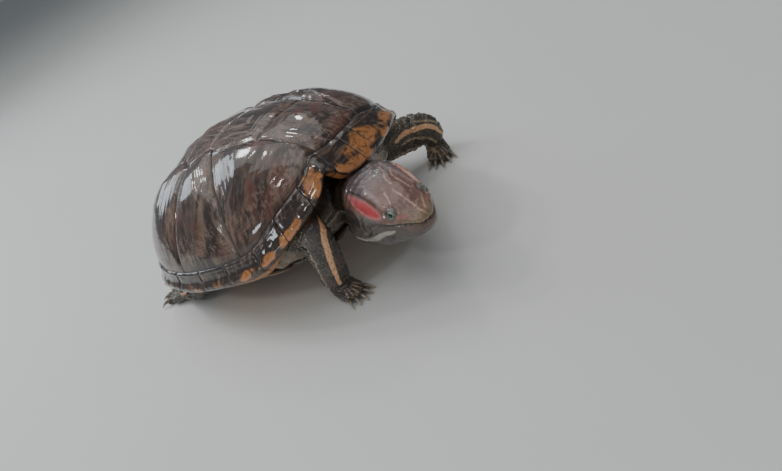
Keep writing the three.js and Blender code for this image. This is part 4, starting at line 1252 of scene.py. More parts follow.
JAW_STRIPES = (
    ((-14.6, -8.7, -7.9, 0.5), (-11.6, -8.2, -6.3, 0.75), (-8.3, -7.2, -4.2, 0.7), (-6.2, -6.3, -3.0, 0.35)),
    ((-14.6, -8.7, -7.9, 0.5), (-20.0, -8.8, -9.4, 0.5), (-27.0, -7.6, -8.6, 0.5)),
    ((-3.0, 0.0, -6.0, 0.35), (-8.0, 0.0, -9.0, 0.5), (-14.0, 2.2, -11.0, 0.45), (-24.0, 4.0, -11.2, 0.45)),
    ((-8.0, 0.0, -9.0, 0.4), (-14.0, -2.2, -11.0, 0.45), (-24.0, -4.0, -11.2, 0.45)),
)
# In the standing frame: cream stripes, and the duller ones beside them.
CREAM_STRIPES = (
    ((41.3, -19.0, 28.7, 0.5), (43.1, -20.3, 28.0, 0.9), (44.1, -21.5, 26.8, 1.05), (44.4, -23.1, 24.9, 1.05),
     (44.1, -23.8, 22.4, 1.0), (43.0, -24.1, 18.7, 0.95), (41.9, -24.2, 15.1, 0.9), (40.3, -24.0, 10.3, 0.75),
     (38.7, -23.5, 5.9, 0.5)),
    ((26.5, 36.6, 14.9, 0.6), (27.8, 40.5, 15.4, 0.9), (28.7, 43.0, 14.8, 1.0), (30.4, 44.6, 14.5, 1.0),
     (31.4, 46.7, 13.7, 0.95), (33.1, 48.3, 12.8, 0.9), (33.8, 49.6, 11.2, 0.8), (34.5, 50.2, 9.6, 0.7),
     (34.7, 51.2, 7.5, 0.5)),
    ((-18.0, -27.0, 13.0, 0.4), (-21.5, -34.0, 10.5, 0.6), (-27.0, -36.5, 7.5, 0.6),
     (-34.0, -35.0, 5.0, 0.4)),
    ((-18.0, 27.0, 13.0, 0.4), (-20.5, 37.0, 10.5, 0.6), (-26.0, 40.5, 7.5, 0.6), (-33.0, 40.0, 5.0, 0.4)),
)
DULL_STRIPES = (
    ((28.9, 45.2, 16.7, 0.35), (31.0, 47.1, 16.0, 0.45), (33.0, 49.7, 14.2, 0.45), (34.1, 51.4, 12.1, 0.35)),
    ((26.9, 38.2, 12.4, 0.5), (27.8, 40.4, 12.4, 0.6), (28.8, 42.4, 11.9, 0.6), (30.2, 44.1, 10.9, 0.6),
     (31.0, 46.0, 9.4, 0.6), (32.4, 47.1, 8.1, 0.6), (33.0, 48.1, 5.9, 0.5)),
    ((24.0, 35.5, 9.2, 0.7), (27.3, 41.2, 6.6, 0.95), (30.5, 46.8, 3.9, 0.9), (33.3, 45.5, 3.4, 0.6)),
    ((38.0, -27.0, 27.0, 0.3), (39.0, -27.5, 20.0, 0.4), (36.5, -26.5, 12.0, 0.4), (34.5, -25.5, 6.0, 0.3)),
    ((-46.0, 0.0, 9.0, 0.3), (-52.0, 2.0, 5.5, 0.35), (-58.0, 7.0, 3.4, 0.3), (-59.6, 13.0, 2.0, 0.2)),
)


def mirror(line):
    """A chain on the other side of the midline."""
    return tuple((x, -y, z, r) for x, y, z, r in line)


def toe_stripes():
    """A thin stripe along the top of each toe."""
    return [[(x, y, z + high, 0.26) for x, y, z, _, high in toe[1:]]
            for leg in LEGS.values() for toe, _ in toe_rows(leg)[1]]


def laid_on(line, tree, step=0.9):
    """A smooth curve through the chain, in millimetres, each of its points moved to the nearest
    point of the skin."""
    line = np.asarray(line, dtype=float)
    count = max(int(np.linalg.norm(np.diff(line[:, :3], axis=0), axis=1).sum() / step), 3)
    share = np.linspace(0.0, 1.0, count)
    path = curve_through(line[:, :3], share)
    radius = np.interp(share, np.linspace(0.0, 1.0, len(line)), line[:, 3])
    spots = np.array([tree.find_nearest(Vector(place))[0] for place in path])
    return np.column_stack([spots, radius])


def marks_on(tree):
    """All markings laid on the skin, by the name of the field that carries their distance."""
    def from_head(lines):
        lines = [np.asarray(line, dtype=float) for line in lines]
        return [np.column_stack([head_to_stand(line[:, :3]), line[:, 3] * HEAD_UNIT]) for line in lines]

    def both(lines):
        return [shape for line in lines for shape in (line, mirror(line))]

    chains = {
        "patch": from_head([EAR_PATCH, mirror(EAR_PATCH)]), "coral": from_head([LEFT_PATCH]),
        "faint": from_head(PALE_LINES),
        # The crease chains carry painted shade.
        "broad": from_head(BROAD_BANDS), "crease": from_head(both(CREASE_SHADE)),
        "blush": from_head(both([EYE_MARK])), "jaw": from_head(both(JAW_STRIPES)),
        "stripe": CREAM_STRIPES, "dull": [*DULL_STRIPES, *toe_stripes()],
    }
    return {name: [laid_on(line, tree) for line in lines] for name, lines in chains.items()}


def skin_fields(points, marks):
    """Fields shared by the skin and its scales, at points of the standing frame: distances to the
    markings in millimetres, negative inside, and shares from 0 to 1 of each region of the head."""
    x, _, z = stand_to_head(points).T
    behind = -x
    fields = {name: np.min([capsule_distance(points, line) for line in lines], axis=0)
              for name, lines in marks.items()}
    head = smooth(behind, 30.0, 24.0)
    line = mouth_height(behind)
    fields.update({
        "head": head, "crown": head * smooth(z - cheek_line(behind), -0.6, 0.5),
        "nape": head * smooth(behind, 12.5, 18.5) * smooth(z, 0.5, 3.0),
        "snout": smooth(behind, 8.0, 1.0) * smooth(z, 2.6, 0.8) * smooth(z - line, -0.6, 0.2),
        "beak": smooth(line - z, 0.0, 0.5) * smooth(behind, 9.0, 6.0),
        # Distance to the mouth line, which carries painted shade in the gap between the jaws.
        "mouth": np.where(behind > -1.0, np.abs(z - line), 9.0) + smooth(behind, 9.6, 11.4),
        "pale": np.zeros(len(points)), "lid": np.zeros(len(points)), "tone": np.full(len(points), 0.5),
    })
    return fields


def leg_of(points):
    """For each point: its place along the nearest leg and its distance from it, in girths."""
    best = np.full(len(points), 1e6)
    along = np.zeros(len(points))
    for leg in LEGS.values():
        path, girth, *_ = limb_frames(leg["joints"], leg["up"], 60)
        gap = np.linalg.norm(points[:, None] - path[None], axis=2) / girth.max(axis=1)
        nearest = gap.argmin(axis=1)
        distance = gap[np.arange(len(points)), nearest]
        better = distance < best
        best = np.where(better, distance, best)
        along = np.where(better, nearest / 59.0, along)
    return along, best


BROW_LINE = ((-3.2, 3.3, 1.7, 0.0), (-7.0, 5.0, 3.0, 0.0), (-12.0, 6.6, 3.9, 0.0))
JAW_CORNER = ((-12.8, 8.4, -2.7, 0.0), (-14.2, 8.8, -4.4, 0.0), (-13.6, 8.4, -8.0, 0.0))


def head_relief(inside):
    """Raising of the skin over the head, in millimetres: brow, mouth line, ear drum, nostrils,
    the jaw's hinder edge and the folds of the neck."""
    x, y, z = inside.T
    behind, side = -x, np.abs(y)
    folded = np.column_stack([x, side, z])

    def near(line, spread):
        return np.exp(-np.maximum(capsule_distance(folded, line), 0) ** 2 / spread)

    on_head = smooth(behind, 27.5, 24.0) * smooth(behind, -2.0, -0.6)
    round_eye = np.linalg.norm(folded - EYE_SPOT, axis=1)
    orbit = (0.26 * bell(round_eye, 2.3, 0.8) + 0.05 * bell(round_eye, 3.4, 0.35)
             - 0.06 * bell(round_eye, 3.0, 0.3))
    brow = 0.22 * near(BROW_LINE, 1.1)
    line = mouth_height(behind)
    gape = np.exp(-((z - line) / 0.26) ** 2) * smooth(behind, 13.4, 12.2)
    lip = 0.20 * bell(z, line + 0.75, 0.6) * smooth(behind, 12.0, 8.0)
    chin = -0.16 * smooth(line - z, 0.0, 0.6) * smooth(behind, 12.5, 10.0)
    drum = np.linalg.norm(np.column_stack([x + 19.2, (side - 9.0) * 0.3, z + 2.9]), axis=1)
    ear = -0.22 * smooth(drum, 2.6, 1.6) + 0.14 * bell(drum, 2.9, 0.5)
    nostril = np.linalg.norm(np.column_stack([x - 0.1, side - 0.75, z + 0.95]), axis=1)
    nose = -0.6 * np.exp(-(nostril / 0.36) ** 2)
    corner = -0.35 * near(JAW_CORNER, 0.2)
    nape = smooth(behind, 15.0, 21.0) * smooth(z, -1.0, 2.5)
    winding = behind * 3.1 + 1.5 * ripple(inside, 7.0, 51)
    wrinkle = nape * (0.19 * np.sin(winding) + 0.12 * ripple(inside, 2.2, 52))
    cheek = smooth(line - z, 1.0, 3.0) * smooth(behind, 4.0, 9.0)
    pleat = cheek * 0.13 * np.sin((z - 0.35 * x) * 2.6 + 1.4 * ripple(inside, 6.0, 53))
    fine = 0.045 * ripple(inside, 1.5, 54) * smooth(behind, 1.0, 7.0)
    return on_head * (brow + orbit - 0.5 * gape + lip + chin + ear + nose + corner + wrinkle + pleat + fine)


def mouth_height(behind):
    """Height of the mouth line behind the snout tip, in head units."""
    return np.interp(behind, (-2.0, 0.0, 1.0, 2.0, 3.2, 4.1, 5.4, 8.0, 12.6),
                     (-1.1, -1.0, -0.6, -0.45, -0.5, -0.7, -0.8, -1.5, -2.6))


def cheek_line(behind):
    """Height where the crown's colour gives way to the jaw's, in head units."""
    return np.interp(behind, (0.0, 1.2, 2.4, 4.0, 6.0, 14.0, 22.0),
                     (-3.6, -3.1, -2.1, -1.3, -1.0, -0.9, -0.6))


def eye_frame(side):
    """The eye's axes: its gaze, the level line towards the snout, and upwards."""
    gaze = unit(np.array(GAZE) * (1.0, side, 1.0))
    level = np.array((1.0, 0.0, -0.16))
    along = unit(level - gaze * (level @ gaze))
    return gaze, along, np.cross(gaze, along) * side


# From under the cheek inwards: degrees beyond the opening and radius in eye radii.
LID_ROWS = ((66, 0.84), (52, 0.97), (41, 1.035), (31, 1.075), (22, 1.10), (14, 1.105), (8, 1.115),
            (4, 1.12), (1, 1.10), (0, 1.065), (2, 1.03), (8, 0.99), (14, 0.90), (20, 0.6))


def lid_ring(side):
    """One eye's lids: from under the cheek the skin rises over the eyeball, turns in at an almond
    opening and ends behind it. Turn goes round the gaze, reach runs outwards to inwards."""
    gaze, along, above = eye_frame(side)
    turn = circle(120)
    slit = np.where(np.sin(turn) > 0, 25.0, 27.0)
    corner = np.where(np.cos(turn) > 0, 44.0, 41.0)
    opening = 1.0 / np.sqrt((np.cos(turn) / corner) ** 2 + (np.sin(turn) / slit) ** 2)
    rows = []
    for beyond, radius in LID_ROWS:
        angle = np.radians(np.minimum(opening + beyond, 120.0))
        crease = 0.010 * np.sin(turn * 2.0 + beyond * 0.55) * bell(beyond, 28.0, 12.0)
        ray = (gaze * np.cos(angle)[:, None] + along * (np.sin(angle) * np.cos(turn))[:, None]
               + above * (np.sin(angle) * np.sin(turn))[:, None])
        rows.append(np.array(EYE_PLACE) * (1.0, side, 1.0) + ray * (EYE_RADIUS * (radius + crease))[:, None])
    return moved(closed_rows(np.stack(rows)), head_to_stand)


SKIN_TRIANGLES = 176000
# Passes that smooth the whole skin, spread its hollows and fill them.
SMOOTHING_PASSES = 5
SPREADING_PASSES = 10
FILLING_PASSES = 25
# How far under the dome the skin has to stay, and inside which share of the way to the rim.
ROOF_GAP = 2.5
ROOF_SHARE = 0.955


class TURTLE_OT_skin(bpy.types.Operator):
    """Make the one skin over the trunk, neck, head, jaw, legs, feet and tail"""
    bl_idname = "turtle.skin"
    bl_label = "Skin"

    def execute(self, context):
        skin = settings()[1]
        neck = moved(limb_form(neck_joints(), steps=50, sides=48, trim=0.15), shell_to_stand)
        forms = [trunk_form(), head_form(), neck, *cheeks(), *shoulder_rolls(), *chest(), *groin_rolls()]
        for leg in LEGS.values():
            forms.append(limb_form(leg["joints"], leg["up"], steps=60, sides=40, trim=0.1, cap=1.5))
            forms += foot_forms(leg)
        forms.append(limb_form(TAIL_JOINTS, steps=50, sides=24, trim=0.05, cap=0.7))
        points, triangles = fused(forms, skin.voxel * 1000.0)
        edges = edges_of(triangles)
        for _ in range(SMOOTHING_PASSES):
            points = mix(points, neighbour_mean(points, edges, len(points)), 0.5)
        normal = point_normals(points, triangles)
        bend = ((neighbour_mean(points, edges, len(points)) - points) * normal).sum(axis=1)
        hollow = np.clip(bend * 40.0, 0.0, 1.0)[:, None]
        for _ in range(SPREADING_PASSES):
            hollow = np.clip(neighbour_mean(hollow, edges, len(points)) * 1.08, 0.0, 1.0)
        for _ in range(FILLING_PASSES):
            points = points + hollow * 0.5 * (neighbour_mean(points, edges, len(points)) - points)
        on_head = smooth(-stand_to_head(points)[:, 0], 34.0, 26.0)
        keep = np.maximum(on_head, 0.9 * smooth(rim_share(points), 0.70, 0.84))
        points, triangles = thinned(points, triangles, keep, SKIN_TRIANGLES)
        return self.dress(points, triangles, skin)

    def dress(self, points, triangles, skin):
        """Adds folds, the head's relief, lids and fields to the bare skin and makes its piece."""
        normal = point_normals(points, triangles)
        inside = stand_to_head(points)
        along, near = leg_of(points)
        behind = -inside[:, 0]
        neck = smooth(behind, 25.0, 30.0) * smooth(np.hypot(inside[:, 1], inside[:, 2] + 3.0), 16.0, 12.0)
        limb = smooth(near, 1.9, 1.25) * (1.0 - smooth(behind, 27.0, 24.0)) * (1.0 - neck)
        depth = skin.fold_depth * 1000.0
        uneven = 1.1 * ripple(points, 9.0, 41)
        rings = np.sin(behind * 2.3 + uneven * 1.6) * (0.6 + 0.4 * ripple(points, 7.0, 42))
        folds = depth * neck * rings
        crease = np.sin(along * 70.0 + uneven * 2.0) * bell(along, 0.62, 0.16)
        folds = folds + depth * 0.6 * limb * crease + 0.10 * limb * ripple(points, 2.2, 43)
        loose = (1.0 - neck) * (1.0 - limb) * smooth(behind, 24.0, 28.0)
        pleats = np.sin(points @ (0.9, 0.5, 1.3) + uneven * 1.8) + 0.7 * ripple(points, 3.0, 44)
        folds = folds + depth * 0.7 * loose * pleats
        points = points + normal * (head_relief(inside) + folds)[:, None]
        shell_points = stand_to_shell(points)
        plan = shell_points[:, :2].T
        roof = dome_height(*plan) - ROOF_GAP
        under = (outward(*plan) < ROOF_SHARE) & (shell_points[:, 2] > roof)
        shell_points[under, 2] = roof[under]
        points = np.where(under[:, None], shell_to_stand(shell_points), points)
        points[:, 2] = np.maximum(points[:, 2], 0.0)
        tree = BVHTree.FromPolygons(points.tolist(), triangles.tolist())
        bare = len(points)
        points, triangles = joined([(points, triangles), *(lid_ring(side) for side, _ in SIDES)])
        fields = skin_fields(points, marks_on(tree))
        fields["lid"][bare:] = 1.0
        # Paler skin on the loose folds round each foreleg: partly their own beige, partly painted light that
        # lifts the shade under the rim.
        folds_of_arm = np.min([capsule_distance(points, roll) for roll in arm_folds()], axis=0)
        fields["pale"] = smooth(folds_of_arm, 2.0, 0.3) * (1.0 - fields["head"])
        feet = [leg["foot"] for leg in LEGS.values()]
        piece("turtle_skin", points, triangles, make_skin_finish(), "skin", fields,
              ("trunk", "neck", "head", "lower_jaw", "tail", *LEGS, *feet))
        return {"FINISHED"}


def make_skin_finish():
    """Wet skin: taupe crown, dark limbs, red ear patches, cream stripes and fine scales."""
    skin = settings()[1]
    f = Finish("skin", 0.5, coat=1.0, coat_roughness=0.06, specular=0.4)
    wobble = f.centred(f.cloud(1.0, 0.9), 0.9)
    cloud, speck = f.cloud(0.28), f.cloud(1.6)
    patchy = f.band(cloud, 0.35, 0.65)
    head, nape = f.field("head"), f.field("nape")

    limb = f.over(skin.limb, (0.095, 0.070, 0.045), patchy)
    limb = f.over(limb, (0.17, 0.125, 0.075), f.band(speck, 0.5, 0.68), 0.45)
    limb = f.over(limb, (0.16, 0.12, 0.075), f.band(f.field("tone"), 0.0, 1.0, -0.35, 0.35))
    # Folds round the forelegs: their own beige skin, partly painted light that lifts the shade under the rim.
    limb = f.over(limb, f.blend(cloud, (0.26, 0.20, 0.14), (0.50, 0.38, 0.27)), f.field("pale"), 0.85)
    cheek = f.blend(patchy, (0.045, 0.038, 0.034), (0.100, 0.080, 0.068))
    top = f.over(skin.crown, (0.24, 0.128, 0.100), patchy)
    top = f.over(top, f.blend(speck, (0.090, 0.077, 0.083), (0.24, 0.21, 0.222)), nape, 0.85)
    colour = f.over(f.over(limb, cheek, head), top, f.field("crown"))
    colour = f.over(colour, (0.31, 0.225, 0.13), f.field("snout"), 0.75)
    beak = f.blend(speck, (0.05, 0.032, 0.024), (0.13, 0.088, 0.066))
    colour = f.over(colour, beak, f.field("beak"), 0.6)
    worn = f.band(f.cloud((0.5, 1.3, 1.3), distortion=0.8), 0.50, 0.62)
    colour = f.over(colour, (0.115, 0.062, 0.050), worn, 0.45, head)

    def mark(field, uneven, colour, under, strength=1.0, soft=0.15):
        edge = f.plus(f.field(field), f.times(wobble, uneven))
        return f.over(under, colour, f.band(edge, soft, -soft - 0.05), strength)

    cream = f.blend(f.band(speck, 0.3, 0.7), skin.stripe, (0.82, 0.42, 0.20))
    # The crease entry paints shade along the crease over the ear patch and at the mouth's corner; the other
    # entries are the skin's own colours.
    for field, uneven, tone, strength, soft in (
            ("broad", 0.8, (0.46, 0.34, 0.32), 0.5, 0.5), ("crease", 0.4, (0.035, 0.022, 0.022), 0.75, 0.25),
            ("faint", 1.3, (0.74, 0.46, 0.37), 0.6, 0.2), ("jaw", 0.5, (0.46, 0.42, 0.35), 0.85, 0.25),
            ("blush", 0.4, (0.42, 0.16, 0.15), 0.8, 0.25), ("dull", 0.5, (0.50, 0.37, 0.24), 0.75, 0.15),
            ("stripe", 0.6, cream, 1.0, 0.15)):
        colour = mark(field, uneven, tone, colour, strength, soft)
    patch = f.plus(f.field("patch"), f.times(wobble, 0.8))
    red = f.over(skin.ear, (0.50, 0.045, 0.055), patchy)
    red = f.over(red, (0.55, 0.19, 0.18), f.band(patch, -1.1, -0.15))
    red = f.over(red, (0.46, 0.24, 0.25), nape, 0.45)
    colour = f.over(colour, red, f.band(patch, 0.45, -0.5))
    colour = mark("coral", 0.5, f.blend(speck, (0.85, 0.20, 0.12), (0.90, 0.34, 0.12)), colour, 0.9, 0.3)
    # Painted shade: near-black along the mouth line, in the gap between the jaws.
    colour = f.over(colour, (0.008, 0.006, 0.005), f.band(f.field("mouth"), 0.42, 0.10))
    colour = f.over(colour, (0.125, 0.140, 0.118), f.field("lid"), 0.75)
    scales = f.cells(f.place(0.95))
    mesh = f.blend(head, f.times(f.band(scales, 0.0, 0.16), 1.6), f.band(scales, 0.0, 0.05, 0.8, 1.0))
    height = f.plus(mesh, f.times(f.cloud(1.0, 3.0, 3.0), 0.35))
    height = f.plus(height, f.times(f.cloud((0.9, 0.5, 0.9), distortion=0.8), 0.9))
    wet = f.cloud((0.55, 0.35, 0.55), 1.0, 1.5, 0.5)
    return f.done(colour, **{
        "Roughness": f.band(f.cloud(1.0, 1.2, 3.0), 0.3, 0.7, 0.38, 0.58),
        "Normal": f.bump(height, 0.16, 0.8), "Coat Normal": f.bump(wet, 0.40, 0.6)})


# ---- Scales of the legs, toes and tail ----

# Radius of a scale's disc on the map, which has a grid of cells with room left round each bed.
SCALE_SPOT = 0.0015
MAP_CELLS = 6
MAP_MARGIN = 0.04
# How far a root may lie from the skin, and below which height the soles stay bare.
ROOT_REACH = 1.3
SOLE_HEIGHT = 0.7


def scale_shape():
    """A low dome of eight sides and unit radius about the origin: a sunk base, an edge just over the
    skin, a shoulder and a crown, with the edge towards +x a little lifted."""
    turn = circle(8)
    rings = [np.column_stack([share * np.cos(turn), share * np.sin(turn), rise + lift * np.cos(turn)])
             for share, rise, lift in ((0.86, -0.30, 0.0), (1.0, 0.03, 0.05), (0.70, 0.13, 0.03))]
    points, triangles = closed_rows(np.stack(rings))
    points[-1, 2] = 0.17
    return points, triangles


def scale_roots(joints, up, size, spread, cell, draw, start=0.0):
    """Places for scales round a limb: rows one scale apart with every other row half a scale on.
    Gives places off the path, outward and onward directions, half widths and places on the map."""
    path, girth, tangent, across, upward = limb_frames(joints, up, 160)
    length = np.concatenate([[0.0], np.cumsum(np.linalg.norm(np.diff(path, axis=0), axis=1))])
    rows = int(length[-1] * (1.0 - start) / size)
    columns = max(int(2.0 * math.pi * girth.mean() * spread / (size * 0.92)), 3)
    row, column = np.meshgrid(np.arange(rows), np.arange(columns), indexing="ij")
    along = (start + (1.0 - start) * (row + 0.5 + draw.uniform(-0.12, 0.12, row.shape)) / rows) * length[-1]
    turn = (column + 0.5 * (row % 2) + draw.uniform(-0.12, 0.12, row.shape)) / columns
    angle = (0.25 + spread * (turn - 0.5)) * 2.0 * math.pi
    at = np.clip(np.searchsorted(length, along), 0, 159)
    outwards = (across[at] * (girth[at, 0] * np.cos(angle))[..., None]
                + upward[at] * (girth[at, 1] * np.sin(angle))[..., None])
    half = math.pi * girth[at].mean(axis=-1) * spread / columns
    u = (cell % MAP_CELLS + MAP_MARGIN + 0.92 * along / length[-1]) / MAP_CELLS
    v = (cell // MAP_CELLS + MAP_MARGIN + 0.90 * turn) / MAP_CELLS
    parts = (path[at] + outwards, unit(outwards), tangent[at], half, np.stack([u, v], axis=-1))
    return [part.reshape(-1, *part.shape[2:]) for part in parts]


class TURTLE_OT_scales(bpy.types.Operator):
    """Make the scales of the legs, the toes and the tail"""
    bl_idname = "turtle.scales"
    bl_label = "Scales"

    def execute(self, context):
        surface = bpy.data.objects["turtle_skin"].data
        finish = surface.materials[0]
        points, triangles = arrays_of(surface)
        tree = BVHTree.FromPolygons(world_to_stand(points).tolist(), triangles.tolist())
        marks = marks_on(tree)
        draw = np.random.default_rng(77)
        # Cells of the map: 0 to 3 for the legs, 4 for the tail, 5 to 8 for the palms, toes from 10 on.
        for cell, (name, leg) in enumerate(LEGS.items()):
            fore = name.startswith("fore")
            beds = [scale_roots(leg["joints"], leg["up"], 1.35 if fore else 1.5, 1.0, cell, draw, 0.1)]
            beds.append(scale_roots(palm_rows(leg, 1.0)[:3], UPWARDS, 0.95, 0.5, 5 + cell, draw))
            for k, (toe, _) in enumerate(toe_rows(leg)[1]):
                beds.append(scale_roots(toe, UPWARDS, 0.8, 0.42, 10 + 5 * cell + k, draw))
            self.lay(name, beds, tree, marks, draw, finish)
        bed = scale_roots(TAIL_JOINTS, UPWARDS, 1.1, 1.0, 4, draw, 0.15)
        self.lay("tail", [bed], tree, marks, draw, finish)
        return {"FINISHED"}

    def lay(self, name, beds, tree, marks, draw, finish):
        """Sets the scales down on the skin and joins them; each fills one small disc of the map."""
        place, out, onward, half, spot = (np.concatenate([bed[k] for bed in beds]) for k in range(5))
        found = [tree.find_nearest(Vector(p)) for p in place]
        root, normal, gap = (np.array([hit[k] for hit in found]) for k in (0, 1, 3))
        facing = (normal * out).sum(axis=1)
        kept = (gap < ROOT_REACH) & (facing > 0.35) & (root[:, 2] > SOLE_HEIGHT) & (rim_share(root) > 0.62)
        root, normal, onward, half, spot = (values[kept] for values in (root, normal, onward, half, spot))
        onward = unit(onward - normal * (onward * normal).sum(axis=1, keepdims=True))
        across = np.cross(normal, onward)
        shape, faces = scale_shape()
        wide = half * draw.uniform(0.92, 1.08, len(half))
        tall = np.clip(half / 0.7, 0.5, 1.2)
        points = (root[:, None] + onward[:, None] * (shape[None, :, :1] * (wide * 1.12)[:, None, None])
                  + across[:, None] * (shape[None, :, 1:2] * wide[:, None, None])
                  + normal[:, None] * (shape[None, :, 2:] * tall[:, None, None]))
        count, each = len(root), len(shape)
        triangles = (faces[None] + each * np.arange(count)[:, None, None]).reshape(-1, 3)
        on_map = (spot[:, None] + SCALE_SPOT * shape[None, :, :2]).reshape(-1, 2)
        points = points.reshape(-1, 3)
        fields = skin_fields(points, marks)
        fields["tone"] = np.repeat(draw.uniform(0.0, 1.0, count), each)
        obj = piece(f"scales_{name}", points, triangles, finish, "skin", fields)
        layer = obj.data.uv_layers.new(name="OFBake")
        order = np.empty(len(obj.data.loops), dtype=np.int32)
        obj.data.loops.foreach_get("vertex_index", order)
        layer.data.foreach_set("uv", on_map[order].astype(np.float32).ravel())


# ---- Eyes and claws ----

class TURTLE_OT_eyes(bpy.types.Operator):
    """Make the eyeballs"""
    bl_idname = "turtle.eyes"
    bl_label = "Eyes"

    def execute(self, context):
        finish = make_eye_finish()
        for side, word in SIDES:
            gaze, along, above = eye_frame(side)
            polar, turn = np.meshgrid(np.linspace(0.02, np.pi - 0.02, 48), circle(64), indexing="ij")
            radius = EYE_RADIUS * (0.985 + 0.05 * np.exp(-(polar / 0.62) ** 2))
            a, b, c = np.cos(polar), np.sin(polar) * np.cos(turn), np.sin(polar) * np.sin(turn)
            ray = gaze * a[..., None] + along * b[..., None] + above * c[..., None]
            grid = np.array(EYE_PLACE) * (1.0, side, 1.0) + ray * radius[..., None]
            points, triangles = closed_rows(grid)
            fields = {"angle": np.append(np.degrees(polar), [0.0, 180.0]), "level": np.append(c, [0.0, 0.0])}
            piece(f"eyeball_{word}", head_to_stand(points), triangles, finish, "eye", fields,
                  (f"eye_{word}",))
        return {"FINISHED"}


def make_eye_finish():
    """Olive iris with a dark bar and a round pupil under a wet cornea."""
    f = Finish("eye", 0.25, coat=1.0, coat_roughness=0.02)
    angle, level = f.field("angle"), f.field("level")
    iris = f.blend(f.cloud(3.0, 1.0, 3.0), (0.10, 0.145, 0.115), (0.28, 0.34, 0.26))
    bar = f.band(f.math("ABSOLUTE", level), 0.20, 0.10)
    rim = f.band(f.math("ABSOLUTE", f.math("SUBTRACT", angle, 18.0)), 1.6, 0.6)
    colour = f.over(iris, (0.018, 0.026, 0.022), bar, 0.7)
    colour = f.over(colour, (0.003, 0.003, 0.003), f.band(angle, 17.0, 14.5))
    colour = f.over(colour, (0.30, 0.33, 0.20), rim)
    return f.done(f.over(colour, (0.02, 0.02, 0.016), f.band(angle, 36.0, 42.0)))


CLAW_STEPS = 28
CLAW_SIDES = 20


class TURTLE_OT_claws(bpy.types.Operator):
    """Make the claws of the four feet"""
    bl_idname = "turtle.claws"
    bl_label = "Claws"

    def execute(self, context):
        finish = make_claw_finish()
        for leg in LEGS.values():
            forms = [limb_form(claw, steps=CLAW_STEPS, sides=CLAW_SIDES, cap=0.12)
                     for _, claw in toe_rows(leg)[1]]
            points, triangles = joined(forms)
            rows = np.repeat(np.linspace(0.0, 1.0, CLAW_STEPS), CLAW_SIDES)
            tip = np.tile(np.concatenate([rows, np.ones(3 * CLAW_SIDES), [0.0, 1.0]]), len(forms))
            points[:, 2] = np.maximum(points[:, 2], 0.02)
            piece("claws_" + leg["foot"], points, triangles, finish, "skin", {"tip": tip})
        return {"FINISHED"}


def make_claw_finish():
    """Horn-brown claws with pale tips and fine lengthwise lines."""
    f = Finish("claw", 0.35, coat=0.6, coat_roughness=0.1)
    tip = f.field("tip")
    grain = f.cloud(1.2, 1.0, 3.0)
    colour = f.blend(f.band(tip, 0.15, 0.95), (0.06, 0.045, 0.032), (0.42, 0.34, 0.24))
    return f.done(f.over(colour, (0.035, 0.026, 0.020), grain, 0.35), Normal=f.bump(grain, 0.05, 0.5))


# ---- Camera, floor and lights ----

# Places and sizes are in metres here.
CAMERA_PLACE = (0.17981, -0.12695, 0.12012)
CAMERA_AIM = (0.054633, -0.022540, 0.020)
CAMERA_ROLL = 29.72
SENSOR_WIDTH = 36.0
CLIP = (0.005, 10.0)
WHITE = (1.0, 1.0, 1.0)
SKY_BLUE = (0.80, 0.90, 1.0)
# Name, place, aim, width and height, power as a multiple of the key setting, colour.
LIGHTS = (
    ("key", (-0.30, 0.10, 0.90), (0.0, 0.0, 0.02), (1.1, 1.1), 4.6, WHITE),
    ("fill", (0.36, -0.36, 0.80), (0.0, 0.0, 0.02), (0.9, 0.9), 2.2, WHITE),
    ("band", (-0.60, -0.07, 0.30), (0.0, 0.0, 0.02), (0.19, 0.26), 0.75, SKY_BLUE),
    ("glint", (-0.30, -0.08, 0.52), (0.0, 0.0, 0.03), (0.05, 0.05), 0.25, WHITE),
    ("spark", (-0.22, 0.29, 0.46), (0.0, 0.0, 0.03), (0.04, 0.04), 0.16, WHITE),
    ("side", (-0.11, -0.57, 0.145), (0.0, 0.0, 0.03), (0.10, 0.06), 0.30, SKY_BLUE),
    ("gleam", (-0.42, 0.0, 0.46), (0.0, 0.0, 0.03), (0.06, 0.06), 0.34, WHITE),
    ("catch", (-0.03, -0.43, 0.48), (0.04, 0.0, 0.03), (0.055, 0.055), 0.30, WHITE),
)
WORLD_COLOUR = (0.85, 0.92, 1.0, 1.0)
WORLD_STRENGTH = 0.17
FLOOR_REACH = 3.0
FLOOR_DROP = 0.0002


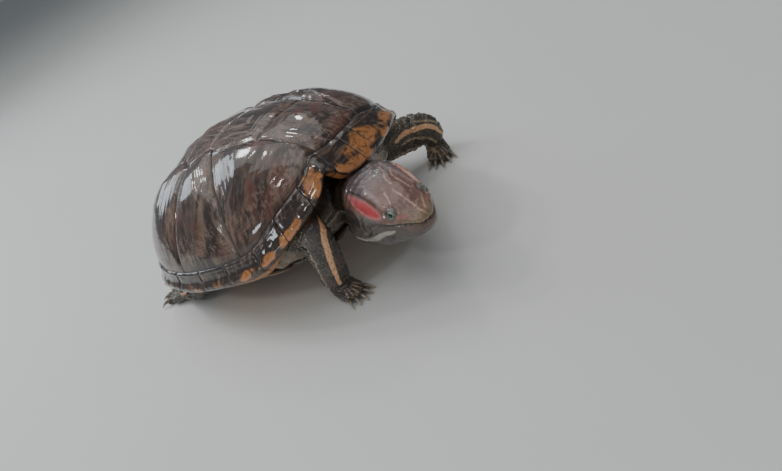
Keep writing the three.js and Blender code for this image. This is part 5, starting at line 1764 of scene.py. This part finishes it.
class TURTLE_OT_stage(bpy.types.Operator):
    """Make the camera, the pale floor and the soft lights"""
    bl_idname = "turtle.stage"
    bl_label = "Stage"

    def execute(self, context):
        stage = settings()[2]
        scene = context.scene
        camera = bpy.data.objects.new("camera", bpy.data.cameras.new("camera"))
        scene.collection.objects.link(camera)
        look = Vector(CAMERA_AIM) - Vector(CAMERA_PLACE)
        level = look.to_track_quat("-Z", "Y").to_matrix()
        camera.matrix_world = Matrix.Translation(CAMERA_PLACE) @ (
            level @ Matrix.Rotation(math.radians(-CAMERA_ROLL), 3, "Z")).to_4x4()
        camera.data.lens = stage.lens
        camera.data.sensor_width = SENSOR_WIDTH
        camera.data.clip_start, camera.data.clip_end = CLIP
        scene.camera = camera
        self.floor(stage)
        for name, place, aim, size, power, colour in LIGHTS:
            self.light(name, place, aim, size, stage.key * power, colour)
        world = bpy.data.worlds.new("world")
        world.use_nodes = True
        sky = world.node_tree.nodes["Background"]
        sky.inputs["Color"].default_value = WORLD_COLOUR
        sky.inputs["Strength"].default_value = WORLD_STRENGTH
        scene.world = world
        return {"FINISHED"}

    def light(self, name, place, aim, size, power, colour):
        data = bpy.data.lights.new(name, "AREA")
        data.shape = "RECTANGLE"
        data.size, data.size_y = size
        data.energy = power
        data.color = colour
        lamp = bpy.data.objects.new(name, data)
        lamp.location = place
        lamp.rotation_euler = (Vector(aim) - Vector(place)).to_track_quat("-Z", "Y").to_euler()
        bpy.context.scene.collection.objects.link(lamp)

    def floor(self, stage):
        f = Finish("floor", 0.6)
        finish = f.done(f.over(stage.floor, (0.5, 0.5, 0.48), f.cloud(0.01, 1.0, 3.0), 0.15))
        signs = np.array([(-1, -1), (1, -1), (1, 1), (-1, 1)])
        corners = np.column_stack([signs * FLOOR_REACH, np.full(4, -FLOOR_DROP)])
        ground = loose_object("floor", corners, np.array([(0, 1, 2), (0, 2, 3)]))
        ground.data.materials.append(finish)


class TURTLE_PT_sidebar(bpy.types.Panel):
    """Lists the steps and the settings of the turtle"""
    bl_idname = "TURTLE_PT_sidebar"
    bl_label = "Turtle"
    bl_space_type = "VIEW_3D"
    bl_region_type = "UI"
    bl_category = "Turtle"

    def draw(self, context):
        for operator in OPERATORS:
            self.layout.operator(operator.bl_idname)
        for group in settings():
            box = self.layout.box()
            for name in group.__annotations__:
                box.prop(group, name)


OPERATORS = (
    TURTLE_OT_stage, TURTLE_OT_dome_plates, TURTLE_OT_marginal_plates, TURTLE_OT_plastron, TURTLE_OT_skin,
    TURTLE_OT_scales, TURTLE_OT_eyes, TURTLE_OT_claws,
)
SETTINGS = {"turtle_shell": TurtleShellSettings, "turtle_skin": TurtleSkinSettings,
            "turtle_stage": TurtleStageSettings}


def register():
    for item in (*SETTINGS.values(), *OPERATORS, TURTLE_PT_sidebar):
        bpy.utils.register_class(item)
    for name, group in SETTINGS.items():
        setattr(bpy.types.Scene, name, PointerProperty(type=group))


def unregister():
    for name in SETTINGS:
        delattr(bpy.types.Scene, name)
    for item in reversed((*SETTINGS.values(), *OPERATORS, TURTLE_PT_sidebar)):
        bpy.utils.unregister_class(item)


def main():
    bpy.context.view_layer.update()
    register()
    for operator in OPERATORS:
        group, name = operator.bl_idname.split(".")
        getattr(getattr(bpy.ops, group), name)()


if __name__ == "__main__":
    main()
